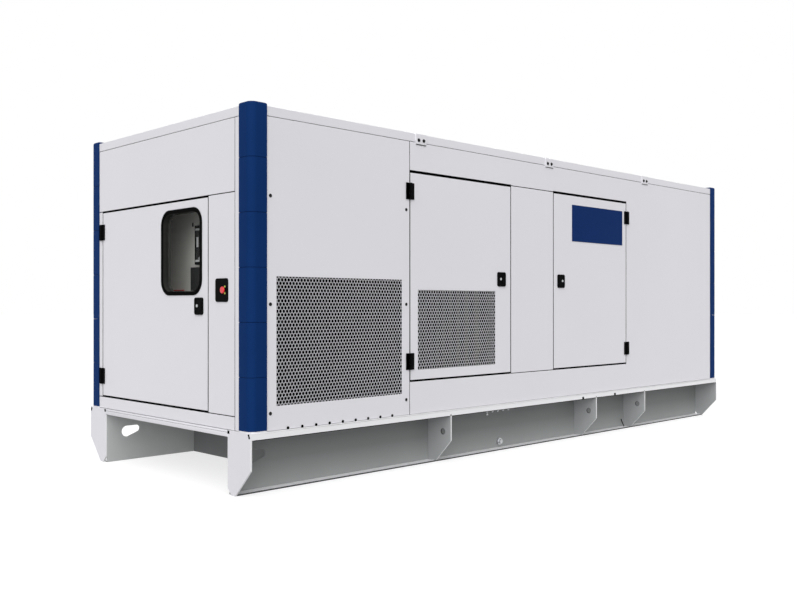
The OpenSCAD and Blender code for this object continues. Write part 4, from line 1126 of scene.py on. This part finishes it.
pale, black, screens, keys, glass = (bmesh.new() for _ in range(5))
for z in (1.3545, 1.5545):
    on_face(pale, show_x, -0.08, z - 0.0065, -0.02, z + 0.0065, 0.003)
on_face(pale, show_x, -0.055, 1.442, -0.033, 1.506, 0.0015, 0.0004)
on_face(screens, show_x, -0.095, 1.345, -0.026, 1.567, 0.0006, 0.0002)
on_face(black, face_x, 0.038, 1.579, 0.052, 1.605, 0.004, 0.003)
for z in (LEAF_LOW, 1.1, 1.115, LEAF_TOP):
    on_face(black, face_x, -LEAF_HALF, z, LEAF_HALF, z + LINE, 0.0006, 0.0002)
for y in (-LEAF_HALF - LINE, LEAF_HALF):
    on_face(black, face_x, y, LEAF_LOW, y + LINE, LEAF_TOP + LINE, 0.0006, 0.0002)
for z in (0.7, 1.02, 1.2, 1.64):
    put(black, drum(0.006, 0.05, 16, 0.001), at(face_x - 0.006, 0.538, z))
    put(black, drum(0.013, 0.01, 24, 0.002), at(face_x, -0.505, z) @ OUT_END)
on_face(glass, show_x, -0.25, 1.475, -0.11, 1.555, 0.001, 0.0005)
for count, radius, proud, sides, y, step, z in (
        (6, 0.009, 0.004, 20, -0.07, 0.044, 1.37), (4, 0.006, 0.003, 16, -0.1, 0.055, 1.42)):
    put(keys, drum(radius, proud, sides, 0.001),
        *[at(show_x, y - step * i, z) @ OUT_END for i in range(count)])
on_face(black, cover_x, -0.3, 1.195, -0.12, 1.285, 0.006, 0.003)
on_face(keys, cover_x, -0.22, 1.215, -0.2, 1.265, 0.022, 0.004)
for i in range(10):
    on_face(black, face_x, -0.35, 0.72 + 0.022 * i, 0.35, 0.73 + 0.022 * i, 0.0015, 0.0006)
for y in (-0.4, -0.33, -0.26, -0.19, -0.12):
    put(black, pipe([(face_x + 0.08, y, cab_low.z + 0.01), (face_x + 0.08, y, cab_low.z - 0.07),
                     (face_x + 0.1, y, skid_top + 0.05), (cab_high.x - 0.01, y, skid_top + 0.03)],
                    0.017, 12))
red_lead = placed(drum(0.0035, 0.15, 10), at(face_x - 0.004, 0.3, 1.169) @ OUT_FRONT)
finish("cabinet_pale_trim", pale, label_grey, "white_paint")
finish("cabinet_black_trim", black, *MOULDED)
finish("display_screen", glass, screen_grey, "grey_paint")
finish("display_side_board", screens, frame_coat, "black_plastic")
finish("display_keys", keys, label_grey, "grey_paint")
finish("cabinet_red_lead", red_lead, red_moulding, "red_plastic")


# ---- Carried nodes, which keep their shape and take a finish ----

for node, material in (
        ("skid_crossmembers", cross_shade_paint), ("base_deck", inner_shade_paint), ("drain_plug", zinc),
        ("bulkhead", cabinet_coat), ("control_cabinet", cabinet_coat),
        ("display_panel", black_moulding), ("breaker_cover", frame_coat),
        ("engine_bed", frame_coat), ("air_cleaners", cleaner_coat),
        ("alternator", machine_blue), ("radiator", core_black)):
    slots = frame["nodes"][node].data.materials
    slots.clear()
    slots.append(material)
